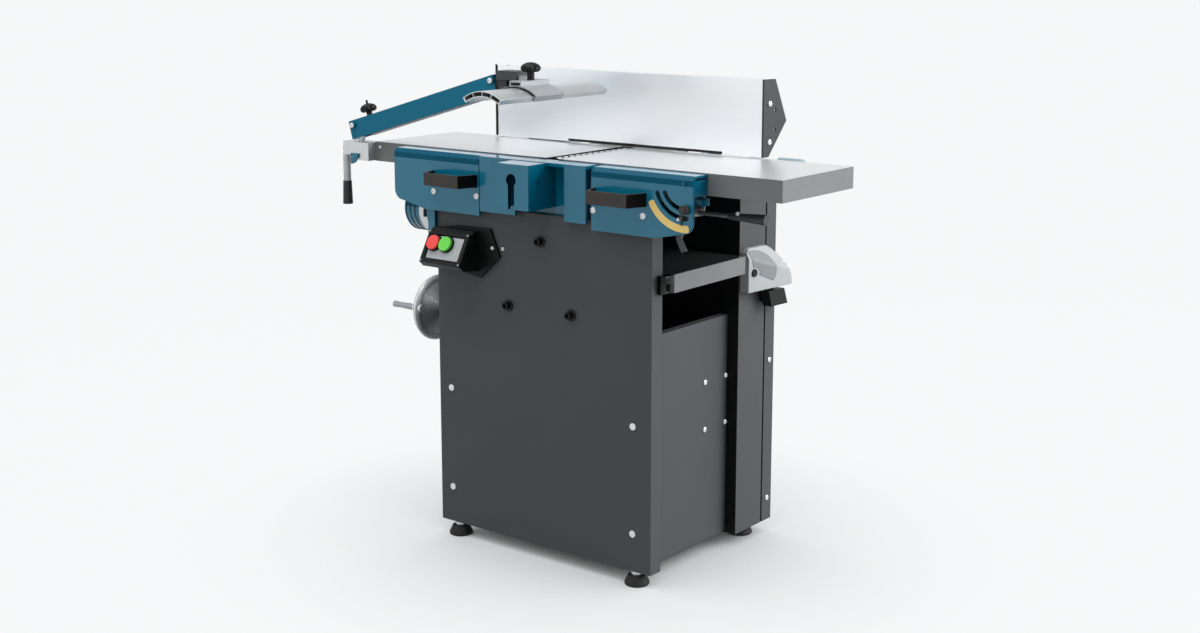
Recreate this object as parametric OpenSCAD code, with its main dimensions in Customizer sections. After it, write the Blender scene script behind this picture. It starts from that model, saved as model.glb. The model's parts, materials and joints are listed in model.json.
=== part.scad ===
// Combination planer thicknesser on a sheet-steel stand.
// X runs along the planing tables (infeed end at +X), Y points to the drive side, Z is up.
// Inside the file X = 0 is the cutterhead axis and Y = 0 the middle of the tables;
// the finished part is shifted so that its origin is the middle of its footprint on the floor.

/* [Planing tables] */
// Height of the planing surface above the floor
table_top = 831; // [800:1:860]
// Width of both tables
table_w = 256; // [246:1:266]
// Depth of the cast edge round each table
table_edge = 42; // [36:1:48]
// Thickness of the planed plate
table_plate = 14; // [11:0.5:16]
// Thickness of the edge ribs
rib_t = 12; // [8:0.5:16]
// Length of the outfeed table
outfeed_l = 483; // [460:1:520]
// Length of the infeed table
infeed_l = 520; // [500:1:560]
// Distance from the cutter axis to the outfeed lip
outfeed_lip = 14; // [13:0.5:16]
// Distance from the cutter axis to the infeed lip
infeed_lip = 18; // [17:0.5:21]
// Deepest cut, the drop of the infeed table
cut_depth = 3; // [1:0.5:3]

/* [Cutterhead and rollers] */
// Radius of the cutting circle
cutter_r = 27; // [26:0.5:28]
// Radius of the cutterhead body
cutter_body_r = 25.4; // [24:0.1:25.6]
// Radius of the cutterhead journals
journal_r = 12.5; // [10:0.5:14]
// Number of insert rows round the head
insert_rows = 4; // [3:1:6]
// Number of inserts in a row
inserts_per_row = 12; // [8:1:14]
// Radius of the feed rollers
roller_r = 14; // [12:0.5:16]
// Distance of each feed roller from the cutter axis
roller_x = 58; // [54:1:62]
// Radius of the roller journals
roller_journal_r = 7; // [6:0.5:8]

/* [Cabinet] */
// Width of the cabinet along the tables
cab_w = 558; // [540:1:590]
// Cabinet centre, measured from the cutter axis
cab_shift = -7; // [-15:1:5]
// How far the front panel stands in front of the table edge
front_gap = 31; // [28:1:34]
// Depth of the cabinet from front panel to drive cover
cab_depth = 440; // [430:1:470]
// Thickness of the sheet steel
sheet = 2.5; // [1.5:0.1:3]
// Width of the folded edges of the front panel
fold_w = 34; // [28:1:36]
// Height of the rubber feet
foot_h = 29; // [22:1:40]
// Radius of a rubber foot at the floor
foot_r = 25; // [20:1:30]
// Distance of the foot centres from the cabinet's sides
foot_inset = 42; // [38:1:52]
// Distance of the front feet behind the front panel
foot_front = 13; // [13:1:40]
// Distance of the rear feet in front of the drive cover
foot_rear = 12; // [12:1:40]
// Height of the sill of the thicknesser tunnel
sill_z = 500; // [470:1:510]
// How far the side panels are set in
panel_inset = 27; // [20:1:32]
// Gap between the table edge and the drive case
drive_gap = 15; // [14:1:18]
// Depth of the rear drive cover
cover_d = 41; // [30:1:50]

/* [Thicknesser] */
// Height of the thicknesser table surface
thick_top = 628; // [600:1:630]
// Depth of the thicknesser table casting
thick_edge = 36; // [30:1:42]
// Overhang of the thicknesser table past the cabinet side
thick_overhang = 21; // [10:1:26]
// Clearance between the thicknesser table and the tunnel walls
tunnel_clear = 10; // [6:1:14]
// Radius of the guide column
column_r = 35; // [30:1:38]
// Radius of the elevating screw
screw_r = 12; // [10:0.5:13]
// Radial clearance of the running fits
fit = 0.08; // [0.05:0.01:0.1]
// Radius of the handwheel
wheel_r = 72; // [64:1:80]

/* [Fence] */
// Length of the fence
fence_l = 694; // [600:1:720]
// Height of the fence
fence_h = 154.5; // [130:0.5:160]
// Thickness of the fence plate
fence_t = 8; // [6:0.5:12]
// Fence face, measured forward from the rear edge of the tables
fence_back = 15; // [12:1:18]

/* [Bridge guard] */
// Length of the guard profile
guard_l = 329; // [300:1:340]
// Width of the guard profile
guard_w = 98; // [92:1:104]
// Height of the guard profile edges above the tables
guard_lift = 126; // [120:1:135]
// Distance between the two arm pivots
arm_l = 420; // [410:1:440]
// Width of the arm channel
arm_w = 30; // [28:1:34]
// Depth of the arm channel
arm_h = 40; // [36:1:40]

/* [Dust outlet] */
// Outside radius of the hose spigot
port_r = 50; // [45:0.5:52]
// Length of the hose spigot
port_l = 72; // [55:1:85]

/* [Hidden] */
$fn = 48;

// Paint and metal colours
sheet_grey = "#55595b";
cast_grey = "#8b8f90";
planed = "#d9dcde";
paint_blue = "#3f6f89";
alloy = "#c9ccce";
black = "#1c1d1e";
steel = "#b4b8bb";

// Main planes
front_edge = -table_w / 2;
rear_edge = table_w / 2;
table_low = table_top - table_edge;
cab_front = front_edge - front_gap;
cab_rear = cab_front + cab_depth;
cab_left = cab_shift - cab_w / 2;
cab_right = cab_shift + cab_w / 2;
tunnel_front = cab_front + fold_w;
drive_wall = rear_edge + drive_gap;
cover_front = cab_rear - cover_d;
seam = 5;
lip_in = 6;
panel_lift = 5;
touch = 0.3;

// Cutterhead line
cutter_z = table_top - cutter_r;
lip_clear = 1.5;
cutter_half = rear_edge - 8;
shaft_front = front_edge - 15.5;
pulley_w = 18;
belt_y = drive_wall + 24;
cutter_pulley_r = 24;
motor_pulley_r = 36;
bearing_r = 24;
bearing_w = 12;
roller_z = cutter_z - cutter_r + roller_r - 2;
relief_x = 112;
relief_z = roller_z + roller_r + 5;

// Head castings
head_bottom = table_top - 115;
head_top = table_top - 2;
apron_y = front_edge - 47;
skin_t = 6;
head_left = -151;
head_right = 124;
key_left = -57;
key_right = 26;
key_front = apron_y - 55;
key_x = -18.5;
key_z = table_top - 35;
seat_z = head_bottom + 6;
front_wall_t = 14;
head_inner = front_edge - 4;
rear_plate_t = 12;
case_top = table_low - 3;
hump_x = 92;
hump_top = table_top + 7;
hump_rear = drive_wall + 72;

// Thicknesser
thick_front = tunnel_front + tunnel_clear;
thick_rear = drive_wall - tunnel_clear;
thick_left = cab_left - 14;
thick_right = cab_right + thick_overhang;
column_y = 35;
sleeve_r = column_r + 13;
column_base_z = foot_h + sheet;
sleeve_bottom = thick_top - 190;
column_top = thick_top - 64;
screw_y = -88;
screw_top = thick_top - 58;
nut_r = 20;
nut_h = 36;
nut_top = thick_top - 54;
gear_z = 475;
gear_r = 27;
gear_gap = 0.5;
wheel_x = cab_left - 72;
shaft_r = 8;
hood_low = thick_top + 12;
hood_top = cutter_z - cutter_r - 25;
port_y = -112;
port_z = 700;
port_x = cab_left - 20;

// Motor, between the left side panel and the guide column
motor_side = [cab_left + panel_inset + sheet, -sleeve_r];
motor_x = (motor_side[0] + motor_side[1]) / 2;
motor_r = (motor_side[1] - motor_side[0]) / 2 - 32;
motor_z = 190;
motor_l = 185;

// Hinge of the tables
hinge_y = drive_wall + 92;
hinge_z = table_top - 25;
pin_r = 8;
knuckle_r = 15;
arm_in = [116, 134];
ear_t = 14;
ear_places = [cab_left + 32, -arm_in[1] - 6 - ear_t, arm_in[1] + 6, cab_right - 32];
arm_out = [306, 361];

// Aprons and depth quadrant
apron_left = [-393, head_left - 2];
apron_right = [138, 376];
apron_low = table_top - 125;
apron_t = 5;
quad_x = 356;
quad_z = table_top - 16;
slot_outer = 65;
slot_inner = 48.5;
lock_at = [quad_x + slot_inner * sin(5), quad_z - slot_inner * cos(5)];

// Lock lever under the infeed table
lock_x = 300;
lock_y = -60;
lock_z = table_top - 88;

// Fence
fence_y = rear_edge - fence_back;
fence_low = table_top + 3;
fence_x0 = -355;
fence_x1 = fence_x0 + fence_l;
end_t = 4;
tilt_y = fence_y + 20;
tilt_z = fence_low + 6;
rail_x = -220;
rail_w = 30;
rail_z0 = table_top - 13;
rail_z1 = table_top + 1.5;
bar_t = 12;
guide_y = [tilt_y + 22, tilt_y + 76];
fence_travel = 45;

// Bridge guard
arm_y = front_edge - 2;
outfeed_end = -outfeed_lip - outfeed_l;
pivot_x = outfeed_end - 49;
pivot_z = table_top + 33.5;
arm_top = 11;
arm_over = [13, 6];
ear_r = 6.5;
guard_z = table_top + guard_lift;
guard_rise = 15;
head_z = guard_z + guard_rise + 7.7;
arm_angle = asin((head_z - pivot_z) / arm_l);
head_x = pivot_x + arm_l * cos(arm_angle);
guard_x = head_x + 101.6;
guard_r = (guard_w * guard_w / 4 + guard_rise * guard_rise) / (2 * guard_rise);
guard_cz = guard_z + guard_rise - guard_r;
guard_wall = 11;
guard_half = asin(guard_w / 2 / guard_r);
guard_gap = 0.4;
sleeve_wall = 4;
rib_h = 9;
guard_rear = 42;
sleeve_y = [arm_y - 59, arm_y + 27];
link_drop = 20;
clamp_left = outfeed_end - 78;
clamp_x = clamp_left - 11;
clamp_z = table_low + 22;

// Feed lever
lever_y = drive_wall + 22;
lever_z = table_top - 242;

// Footprint of the whole part
part_left = clamp_x - 11;
part_right = infeed_lip + infeed_l;
part_front = guard_rear - guard_l;
part_rear = cab_rear;
mid_x = (part_left + part_right) / 2;
mid_y = (part_front + part_rear) / 2;

// Helpers

module place() {
    translate([-mid_x, -mid_y, 0])
        children();
}

module block(x0, x1, y0, y1, z0, z1) {
    translate([x0, y0, z0])
        cube([x1 - x0, y1 - y0, z1 - z0]);
}

module rod_x(x0, x1, y, z, r) {
    translate([x0, y, z])
        rotate([0, 90, 0])
            cylinder(h = x1 - x0, r = r);
}

module rod_y(y0, y1, x, z, r) {
    translate([x, y1, z])
        rotate([90, 0, 0])
            cylinder(h = y1 - y0, r = r);
}

module rod_z(z0, z1, x, y, r) {
    translate([x, y, z0])
        cylinder(h = z1 - z0, r = r);
}

// Draws a flat X-Z shape and gives it depth from y0 to y1
module along_y(y0, y1) {
    translate([0, y1, 0])
        rotate([90, 0, 0])
            linear_extrude(height = y1 - y0)
                children();
}

// Draws a flat Y-Z shape and gives it length from x0 to x1
module along_x(x0, x1) {
    translate([x0, 0, 0])
        rotate([90, 0, 90])
            linear_extrude(height = x1 - x0)
                children();
}

function arc_points(c, r, from, to, n) =
    [for (i = [0 : n]) c + r * [cos(from + i * (to - from) / n), sin(from + i * (to - from) / n)]];

// Points of the outline round two circles, as a belt lies on two pulleys
function belt_points(a, ra, b, rb, n) =
    let (
        toward = atan2(b[1] - a[1], b[0] - a[0]),
        s = acos((ra - rb) / norm(b - a))
    )
    concat(
        arc_points(a, ra, toward + s, toward - s + 360, n),
        arc_points(b, rb, toward - s, toward + s, n)
    );

// Flat wedge from the origin between two directions
module wedge(from, to, reach) {
    mid = (from + to) / 2;
    polygon([
        [0, 0],
        [reach * cos(from), reach * sin(from)],
        [1.5 * reach * cos(mid), 1.5 * reach * sin(mid)],
        [reach * cos(to), reach * sin(to)],
    ]);
}

// Flat arc slot with round ends, which are a touch wider than the slot so that the cut is clean
module arc_slot(r, w, from, to) {
    end_w = w + 0.4;
    intersection() {
        difference() {
            circle(r = r + w / 2);
            circle(r = r - w / 2);
        }
        wedge(from, to, 2 * r);
    }
    for (a = [from, to])
        rotate(a)
            translate([r, 0])
                circle(d = end_w);
}

// Lobed clamping knob standing on the X-Y plane
module lobed_knob(r, h, stem_r, stem_h) {
    lobes = 6;
    difference() {
        rotate_extrude()
            polygon([
                [0, 0], [stem_r, 0], [stem_r, stem_h], [0.8 * r, stem_h], [r, stem_h + 0.25 * h],
                [r, stem_h + 0.6 * h], [0.8 * r, stem_h + 0.9 * h], [0.4 * r, stem_h + h + 2],
                [0, stem_h + h + 3],
            ]);
        for (i = [0 : lobes - 1])
            rotate([0, 0, (i + 0.5) * 360 / lobes])
                translate([1.18 * r, 0, stem_h - 1])
                    cylinder(h = h + 5, r = 0.3 * r);
    }
}

// Cabinet

module foot_places() {
    for (x = [cab_left + foot_inset, cab_right - foot_inset])
        for (y = [cab_front + foot_front, cover_front - foot_rear])
            translate([x, y, 0])
                children();
}

module base_pan() {
    lip = 40;
    pan_x = [cab_left + panel_inset + sheet, cab_right - panel_inset - sheet];
    color(sheet_grey)
        difference() {
            block(pan_x[0], pan_x[1], cab_front + sheet, drive_wall, foot_h, foot_h + lip);
            block(pan_x[0] + sheet, pan_x[1] - sheet, cab_front + 2 * sheet, drive_wall - sheet,
                foot_h + sheet, foot_h + lip + 1);
            foot_places()
                translate([0, 0, foot_h - 1])
                    cylinder(h = sheet + 2, r = 5.2);
        }
}

module feet() {
    color(black)
        foot_places()
            rotate_extrude()
                polygon([
                    [0, 0], [foot_r - 2, 0], [foot_r, 2], [foot_r, 6], [foot_r - 3, 12], [foot_r - 7, 20],
                    [8, 21], [8, foot_h], [5, foot_h], [5, foot_h + sheet + 9], [0, foot_h + sheet + 9],
                ]);
}

module screw_places() {
    for (x = [cab_left + 34, cab_right - 43])
        for (z = [foot_h + 78, foot_h + 297])
            translate([x, cab_front, z])
                children();
}

module front_panel() {
    color(sheet_grey)
        difference() {
            block(cab_left, cab_right, cab_front, tunnel_front, foot_h, seat_z);
            block(cab_left + sheet, cab_right - sheet, cab_front + sheet, tunnel_front + 1,
                foot_h - 1, seat_z - sheet);
            screw_places()
                rotate([90, 0, 0])
                    cylinder(h = 4 * sheet, r = 3.2, center = true);
        }
}

module panel_screws() {
    color(steel)
        screw_places()
            rotate([-90, 0, 0])
                union() {
                    translate([0, 0, -2.5])
                        cylinder(h = 2.5, r = 7);
                    cylinder(h = 9, r = 3);
                }
}

module side_panel(x_in, x_out, x_edge) {
    lo = min(x_in, x_out);
    hi = max(x_in, x_out);
    elo = min(x_in, x_edge);
    ehi = max(x_in, x_edge);
    ledge = (x_in < 0) ? [x_out, x_out + 18] : [x_out - 18, x_out];
    block(lo, hi, tunnel_front, drive_wall, foot_h + panel_lift, sill_z);
    block(elo, ehi, tunnel_front - sheet, tunnel_front, foot_h + panel_lift, sill_z);
    block(ledge[0], ledge[1], tunnel_front, drive_wall, sill_z - sheet, sill_z);
}

module right_side_panel() {
    x = cab_right - panel_inset;
    color(sheet_grey)
        side_panel(x - sheet, x, cab_right - sheet);
}

module left_side_panel() {
    x = cab_left + panel_inset;
    color(sheet_grey)
        difference() {
            side_panel(x + sheet, x, cab_left + sheet);
            rod_x(cab_left - 1, cab_left + panel_inset + 40, screw_y, gear_z, 16);
        }
}

module drive_case() {
    wall_x = [cab_left, cab_right];
    color(sheet_grey) {
        difference() {
            union() {
                block(wall_x[0], wall_x[1], drive_wall, cover_front, foot_h, case_top);
                block(-hump_x, hump_x, drive_wall, hump_rear, case_top - 30, hump_top);
            }
            block(wall_x[0] + sheet, wall_x[1] - sheet, drive_wall + sheet, cover_front + 1,
                foot_h + sheet, case_top - sheet);
            block(sheet - hump_x, hump_x - sheet, drive_wall + sheet, hump_rear - sheet,
                case_top - 40, hump_top - sheet);
            rod_y(drive_wall - 1, drive_wall + sheet + 1, 0, cutter_z, bearing_r + 4);
            for (s = [-1, 1])
                rod_y(drive_wall - 1, drive_wall + sheet + 1, s * roller_x, roller_z, 20);
            rod_y(drive_wall - 1, drive_wall + sheet + 1, motor_x, motor_z, 24);
            foot_places()
                translate([0, 0, foot_h - 1])
                    cylinder(h = sheet + 2, r = 5.2);
        }
        for (x = ear_places)
            hinge_ear(x);
    }
}

module hinge_ear(x) {
    difference() {
        union() {
            block(x, x + ear_t, hinge_y - knuckle_r, cover_front, case_top - 1, hinge_z);
            rod_x(x, x + ear_t, hinge_y, hinge_z, knuckle_r);
        }
        rod_x(x - 1, x + ear_t + 1, hinge_y, hinge_z, pin_r);
    }
}

// Outer shell behind an open seam, with a lip that plugs into the drive case
module drive_cover() {
    shell = cover_front + seam;
    lip = 2 * sheet;
    color(sheet_grey)
        difference() {
            union() {
                block(cab_left, cab_right, shell, cab_rear, foot_h, case_top);
                block(cab_left + sheet, cab_right - sheet, cover_front - lip_in, shell + 1,
                    foot_h + sheet, case_top - sheet);
            }
            block(cab_left + lip, cab_right - lip, cover_front - lip_in - 1, shell + sheet + 1,
                foot_h + lip, case_top - lip);
            block(cab_left + sheet, cab_right - sheet, shell + sheet, cab_rear - sheet,
                foot_h + sheet, case_top - sheet);
        }
}

module hinge_pin() {
    color(steel)
        rod_x(-arm_out[1] - 4, arm_out[1] + 4, hinge_y, hinge_z, pin_r - 0.02);
}

// Head

module front_head_casting() {
    web = 7;
    color(paint_blue)
        difference() {
            union() {
                block(head_left, key_left + 1, apron_y, apron_y + skin_t, head_bottom, head_top);
                block(key_right + 44, head_right, apron_y, apron_y + skin_t, head_bottom, head_top);
                block(head_left, head_right, apron_y, head_inner, head_top - web, head_top);
                block(-relief_x, relief_x, head_inner - front_wall_t, head_inner, seat_z, head_top);
                block(key_left, key_right, key_front, head_inner - 1, head_bottom + 22, head_top - 1);
            }
            block(key_left + web, key_right - web, key_front + web, head_inner - front_wall_t,
                head_bottom + 20, head_top - web);
            rod_y(key_front - 1, key_front + web + 1, key_x, key_z, 12.5);
            block(key_x - 8, key_x + 8, key_front - 1, key_front + web + 1, head_bottom + 20, key_z);
            rod_y(head_inner - bearing_w, head_inner + 1, 0, cutter_z, bearing_r + 0.02);
            for (s = [-1, 1])
                rod_y(head_inner - 10, head_inner + 1, s * roller_x, roller_z, roller_journal_r + fit);
            block(key_right - web - 1, key_right + 1, key_front + 26, key_front + 36, key_z - 9, key_z + 1);
        }
}

module rear_head_plate() {
    color(cast_grey)
        difference() {
            block(-relief_x, relief_x, drive_wall - rear_plate_t, drive_wall,
                seat_z, cutter_z + bearing_r + 3);
            rod_y(drive_wall - rear_plate_t - 1, drive_wall + 1, 0, cutter_z, bearing_r + 0.02);
            for (s = [-1, 1])
                rod_y(drive_wall - rear_plate_t - 1, drive_wall + 1, s * roller_x, roller_z,
                    roller_journal_r + fit);
        }
}

module cutter_bearings() {
    color(steel)
        for (y = [head_inner - bearing_w, drive_wall - rear_plate_t])
            difference() {
                rod_y(y, y + bearing_w, 0, cutter_z, bearing_r - 0.02);
                rod_y(y - 1, y + bearing_w + 1, 0, cutter_z, journal_r + fit);
            }
}

// Places every insert of the head: the rows twist round it like the flights of a screw
module insert_places() {
    pitch = 2 * (cutter_half - 6) / inserts_per_row;
    for (row = [0 : insert_rows - 1])
        for (i = [0 : inserts_per_row - 1])
            translate([0, -cutter_half + 6 + (i + 0.5) * pitch, cutter_z])
                rotate([0, row * 360 / insert_rows + i * 1.2 + 2, 0])
                    children();
}

module cutterhead() {
    color(steel)
        difference() {
            union() {
                rod_y(-cutter_half, cutter_half, 0, cutter_z, cutter_body_r);
                rod_y(shaft_front, -cutter_half + 1, 0, cutter_z, journal_r);
                rod_y(cutter_half - 1, belt_y + pulley_w, 0, cutter_z, journal_r);
            }
            insert_places()
                translate([-1.4, -7.6, cutter_body_r - 9])
                    cube([9, 15.2, 14]);
        }
}

module cutter_inserts() {
    color("#f2f3f4")
        insert_places()
            translate([-1.4, -7, cutter_body_r - 9])
                cube([2.6, 14, cutter_r - cutter_body_r + 9]);
}

module grooved_pulley(x, z, r, bore) {
    rim = 3;
    difference() {
        rod_y(belt_y, belt_y + pulley_w, x, z, r + 3);
        difference() {
            rod_y(belt_y + rim, belt_y + pulley_w - rim, x, z, r + 4);
            rod_y(belt_y + rim - 1, belt_y + pulley_w - rim + 1, x, z, r);
        }
        rod_y(belt_y - 1, belt_y + pulley_w + 1, x, z, bore);
    }
}

module cutter_pulley() {
    color(cast_grey)
        grooved_pulley(0, cutter_z, cutter_pulley_r, journal_r + 0.02);
}

module motor() {
    color(cast_grey)
        difference() {
            union() {
                rod_y(drive_wall - motor_l, drive_wall - 14, motor_x, motor_z, motor_r);
                rod_y(drive_wall - 14, drive_wall, motor_x, motor_z, motor_r + 12);
                for (a = [15 : 15 : 345])
                    translate([motor_x, drive_wall - 24, motor_z])
                        rotate([90, a, 0])
                            translate([motor_r - 2, -1.5, 0])
                                cube([9, 3, motor_l - 60]);
                block(motor_x - 40, motor_x + 40, drive_wall - motor_l + 40, drive_wall - 60,
                    motor_z + motor_r - 8, motor_z + motor_r + 34);
            }
            rod_y(drive_wall - 60, drive_wall + 1, motor_x, motor_z, journal_r + fit);
        }
}

module motor_pulley() {
    color(cast_grey)
        union() {
            grooved_pulley(motor_x, motor_z, motor_pulley_r, journal_r - 1);
            rod_y(drive_wall - 58, belt_y + pulley_w, motor_x, motor_z, journal_r);
        }
}

module drive_belt() {
    belt_t = 5;
    m = [motor_x, motor_z];
    c = [0, cutter_z];
    big = motor_pulley_r + touch;
    small = cutter_pulley_r + touch;
    color(black)
        along_y(belt_y + 3 + touch, belt_y + pulley_w - 3 - touch)
            difference() {
                polygon(belt_points(m, big + belt_t, c, small + belt_t, 40));
                polygon(belt_points(m, big, c, small, 40));
            }
}

module feed_roller(x) {
    difference() {
        union() {
            rod_y(-cutter_half, cutter_half, x, roller_z, roller_r);
            rod_y(head_inner - 9, drive_wall + 20, x, roller_z, roller_journal_r);
        }
        for (a = [0 : 30 : 330])
            translate([x, 0, roller_z])
                rotate([0, a, 0])
                    translate([roller_r - 1, -cutter_half - 1, -1])
                        cube([3, 2 * cutter_half + 2, 2]);
    }
}

module infeed_roller() {
    color(steel)
        feed_roller(roller_x);
}

module outfeed_roller() {
    color(steel)
        feed_roller(-roller_x);
}

module feed_gearbox() {
    y0 = drive_wall + sheet;
    low = roller_z - 52;
    high = cutter_z - journal_r - 6;
    color(cast_grey)
        difference() {
            union() {
                block(-roller_x - 18, roller_x + 18, y0, y0 + 20, low, high - 4);
                for (s = [-1, 1])
                    rod_y(y0, y0 + 20, s * roller_x, roller_z, 18);
            }
            for (s = [-1, 1])
                rod_y(y0 - 1, drive_wall + 21, s * roller_x, roller_z, roller_journal_r + fit);
            rod_y(y0 - 1, y0 + 21, 0, cutter_z, journal_r + 5);
        }
}

// Thicknesser

module guide_column() {
    foot_plate = 14;
    bracket_x = [-92, -72];
    color(cast_grey)
        difference() {
            union() {
                block(-100, 75, screw_y - 34, column_y + 70, column_base_z, column_base_z + foot_plate);
                rod_z(column_base_z, column_top, 0, column_y, column_r);
                rod_z(column_base_z, column_base_z + 48, 0, screw_y, 26);
                block(bracket_x[0], bracket_x[1], screw_y - 22, screw_y + 22,
                    column_base_z, gear_z);
                rod_x(bracket_x[0], bracket_x[1], screw_y, gear_z, 22);
            }
            rod_z(column_base_z + 10, column_top + 1, 0, column_y, column_r - 9);
            rod_z(column_base_z + 12, column_base_z + 49, 0, screw_y, screw_r + fit);
            rod_x(bracket_x[0] - 1, bracket_x[1] + 1, screw_y, gear_z, shaft_r + fit);
        }
}

module thicknesser_table() {
    plate = 14;
    rib = 10;
    rib_low = thick_top - thick_edge;
    color(cast_grey)
        difference() {
            union() {
                block(thick_left, thick_right, thick_front, thick_rear, thick_top - plate, thick_top);
                difference() {
                    block(thick_left, thick_right, thick_front, thick_rear, rib_low, thick_top - 1);
                    block(thick_left + rib, thick_right - rib, thick_front + rib, thick_rear - rib,
                        rib_low - 1, thick_top);
                }
                for (x = [-150, 150])
                    block(x - rib / 2, x + rib / 2, thick_front + 1, thick_rear - 1, rib_low, thick_top - 1);
                rod_z(sleeve_bottom, thick_top - 1, 0, column_y, sleeve_r);
                rod_z(nut_top, thick_top - 1, 0, screw_y, 26);
            }
            rod_z(sleeve_bottom - 1, thick_top - plate, 0, column_y, column_r + fit);
            rod_z(nut_top - 1, thick_top - plate, 0, screw_y, screw_r + 3);
        }
}

module elevating_nut() {
    color("#b08d4a")
        difference() {
            union() {
                rod_z(nut_top - nut_h, nut_top, 0, screw_y, nut_r);
                rod_z(nut_top - 7, nut_top, 0, screw_y, 26);
            }
            rod_z(nut_top - nut_h - 1, nut_top + 1, 0, screw_y, screw_r + fit);
        }
}

// Bevel gear on the Z axis with its cone tip at the origin, standing below it
module bevel_gear() {
    teeth = 18;
    face = 11;
    difference() {
        translate([0, 0, -gear_r])
            cylinder(h = face, r1 = gear_r - gear_gap, r2 = gear_r - gear_gap - face);
        for (i = [0 : teeth - 1])
            rotate([0, 0, i * 360 / teeth])
                rotate([0, -45, 0])
                    translate([-60, -1.4, gear_gap + 2.6 - 4])
                        cube([60, 2.8, 10]);
    }
    translate([0, 0, -gear_r - 8])
        cylinder(h = 9, r = gear_r - 8);
}

module elevating_screw() {
    color(steel)
        union() {
            rod_z(column_base_z + 13, screw_top, 0, screw_y, screw_r);
            translate([0, screw_y, gear_z])
                bevel_gear();
            rod_z(column_base_z + 48 + touch, column_base_z + 56, 0, screw_y, screw_r + 7);
        }
}

module handwheel_shaft() {
    color(steel)
        union() {
            rod_x(wheel_x - 14, -gear_r + 2, screw_y, gear_z, shaft_r);
            translate([0, screw_y, gear_z])
                rotate([0, 90, 0])
                    rotate([0, 0, 10])
                        bevel_gear();
            rod_x(cab_left + panel_inset - 12, cab_left + panel_inset - touch, screw_y, gear_z, 20);
        }
}

module handwheel() {
    rim = 8;
    crank_y = screw_y - wheel_r + 12;
    crank_z = gear_z + 8;
    color(steel)
        difference() {
            union() {
                translate([wheel_x, screw_y, gear_z])
                    rotate([0, 90, 0])
                        rotate_extrude($fn = 72)
                            translate([wheel_r - rim, 0])
                                circle(r = rim);
                translate([wheel_x + 4, screw_y, gear_z])
                    rotate([0, 90, 0])
                        rotate_extrude($fn = 72)
                            polygon([
                                [14, 20], [wheel_r - 13, 2], [wheel_r - 13, -4], [14, 14],
                            ]);
                rod_x(wheel_x - 8, wheel_x + 28, screw_y, gear_z, 16);
                rod_x(wheel_x - 10, wheel_x + 12, crank_y, crank_z, 8.5);
            }
            rod_x(wheel_x - 20, wheel_x + 30, screw_y, gear_z, shaft_r + 0.02);
            rod_x(wheel_x - 11, wheel_x + 3, crank_y, crank_z, 4 + fit);
        }
}

module crank_grip() {
    y = screw_y - wheel_r + 12;
    z = gear_z + 8;
    color(cast_grey)
        union() {
            rod_x(wheel_x - 12, wheel_x + 1, y, z, 4);
            translate([wheel_x - 10 - touch, y, z])
                rotate([0, -90, 0])
                    rotate_extrude()
                        polygon([[0, 0], [5.5, 0], [7, 12], [6, 42], [7, 60], [4, 63], [0, 63]]);
        }
}

module dust_hood() {
    wall = 2;
    hood_right = 64;
    hood_y = [tunnel_front, drive_wall - rear_plate_t];
    end_x = [port_x, cab_left - 3];
    end_y = [port_y - port_r - 4, 20];
    end_top = port_z + port_r + 6;
    color(paint_blue)
        difference() {
            union() {
                along_y(hood_y[0], hood_y[1])
                    polygon([
                        [end_x[1], hood_low], [hood_right - 40, hood_low], [hood_right, hood_low + 34],
                        [hood_right, hood_top], [-hood_right, hood_top], [-hood_right - 40, hood_top - 12],
                        [end_x[1], hood_top - 12],
                    ]);
                block(end_x[0], end_x[1] + 2, end_y[0], end_y[1], hood_low, end_top);
            }
            along_y(hood_y[0] + wall, hood_y[1] - wall)
                polygon([
                    [end_x[1] + wall, hood_low + wall], [hood_right - 41, hood_low + wall],
                    [hood_right - wall, hood_low + 36], [hood_right - wall, hood_top + 1],
                    [wall - hood_right, hood_top + 1], [-hood_right - 39, hood_top - 12 - wall],
                    [end_x[1] + wall, hood_top - 12 - wall],
                ]);
            block(end_x[0] + wall, end_x[1], end_y[0] + wall, end_y[1] - wall,
                hood_low + wall, end_top - wall);
            block(end_x[0] + wall, end_x[1] + wall + 1, hood_y[0] + wall, end_y[1] - wall,
                hood_low + wall, hood_top - 12 - wall);
            rod_x(end_x[0] - 1, end_x[0] + 3, port_y, port_z, port_r - 3);
        }
}

module dust_port() {
    flange = 6;
    color(paint_blue)
        difference() {
            union() {
                rod_x(port_x - port_l, port_x, port_y, port_z, port_r);
                rod_x(port_x - flange, port_x, port_y, port_z, port_r + 3);
            }
            rod_x(port_x - port_l - 1, port_x + 1, port_y, port_z, port_r - 3);
        }
}

// Switch: a wedge-shaped box with a sloping face on a sheet bracket

switch_x = [cab_left + 6, cab_left + 119];
switch_low = [cab_front - 60, table_top - 229];
switch_high = [cab_front - 25, table_top - 165];
bracket_t = 6;
face_len = norm(switch_high - switch_low);
face_angle = atan2(switch_high[1] - switch_low[1], switch_high[0] - switch_low[0]);
button_up = 0.6;
stop_x = switch_x[0] + 26;
start_x = switch_x[0] + 60;
stop_r = 15.5;
start_r = 15.5;

module switch_bracket() {
    x = switch_x[0] + 44;
    z = switch_high[1];
    color(black)
        difference() {
            along_y(cab_front - bracket_t, cab_front)
                polygon([
                    [x - 40, z + 2], [x + 6, z + 12], [x + 102, z + 14], [x + 128, z - 42],
                    [x + 74, z - 91], [x - 40, z - 74],
                ]);
            rod_y(cab_front - bracket_t - 1, cab_front - 2, x + 110, z - 25, 4);
        }
}

module on_switch_face(x) {
    p = switch_low + (switch_high - switch_low) * button_up;
    translate([x, p[0], p[1]])
        rotate([face_angle - 180, 0, 0])
            rotate([180, 0, 0])
                children();
}

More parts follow.
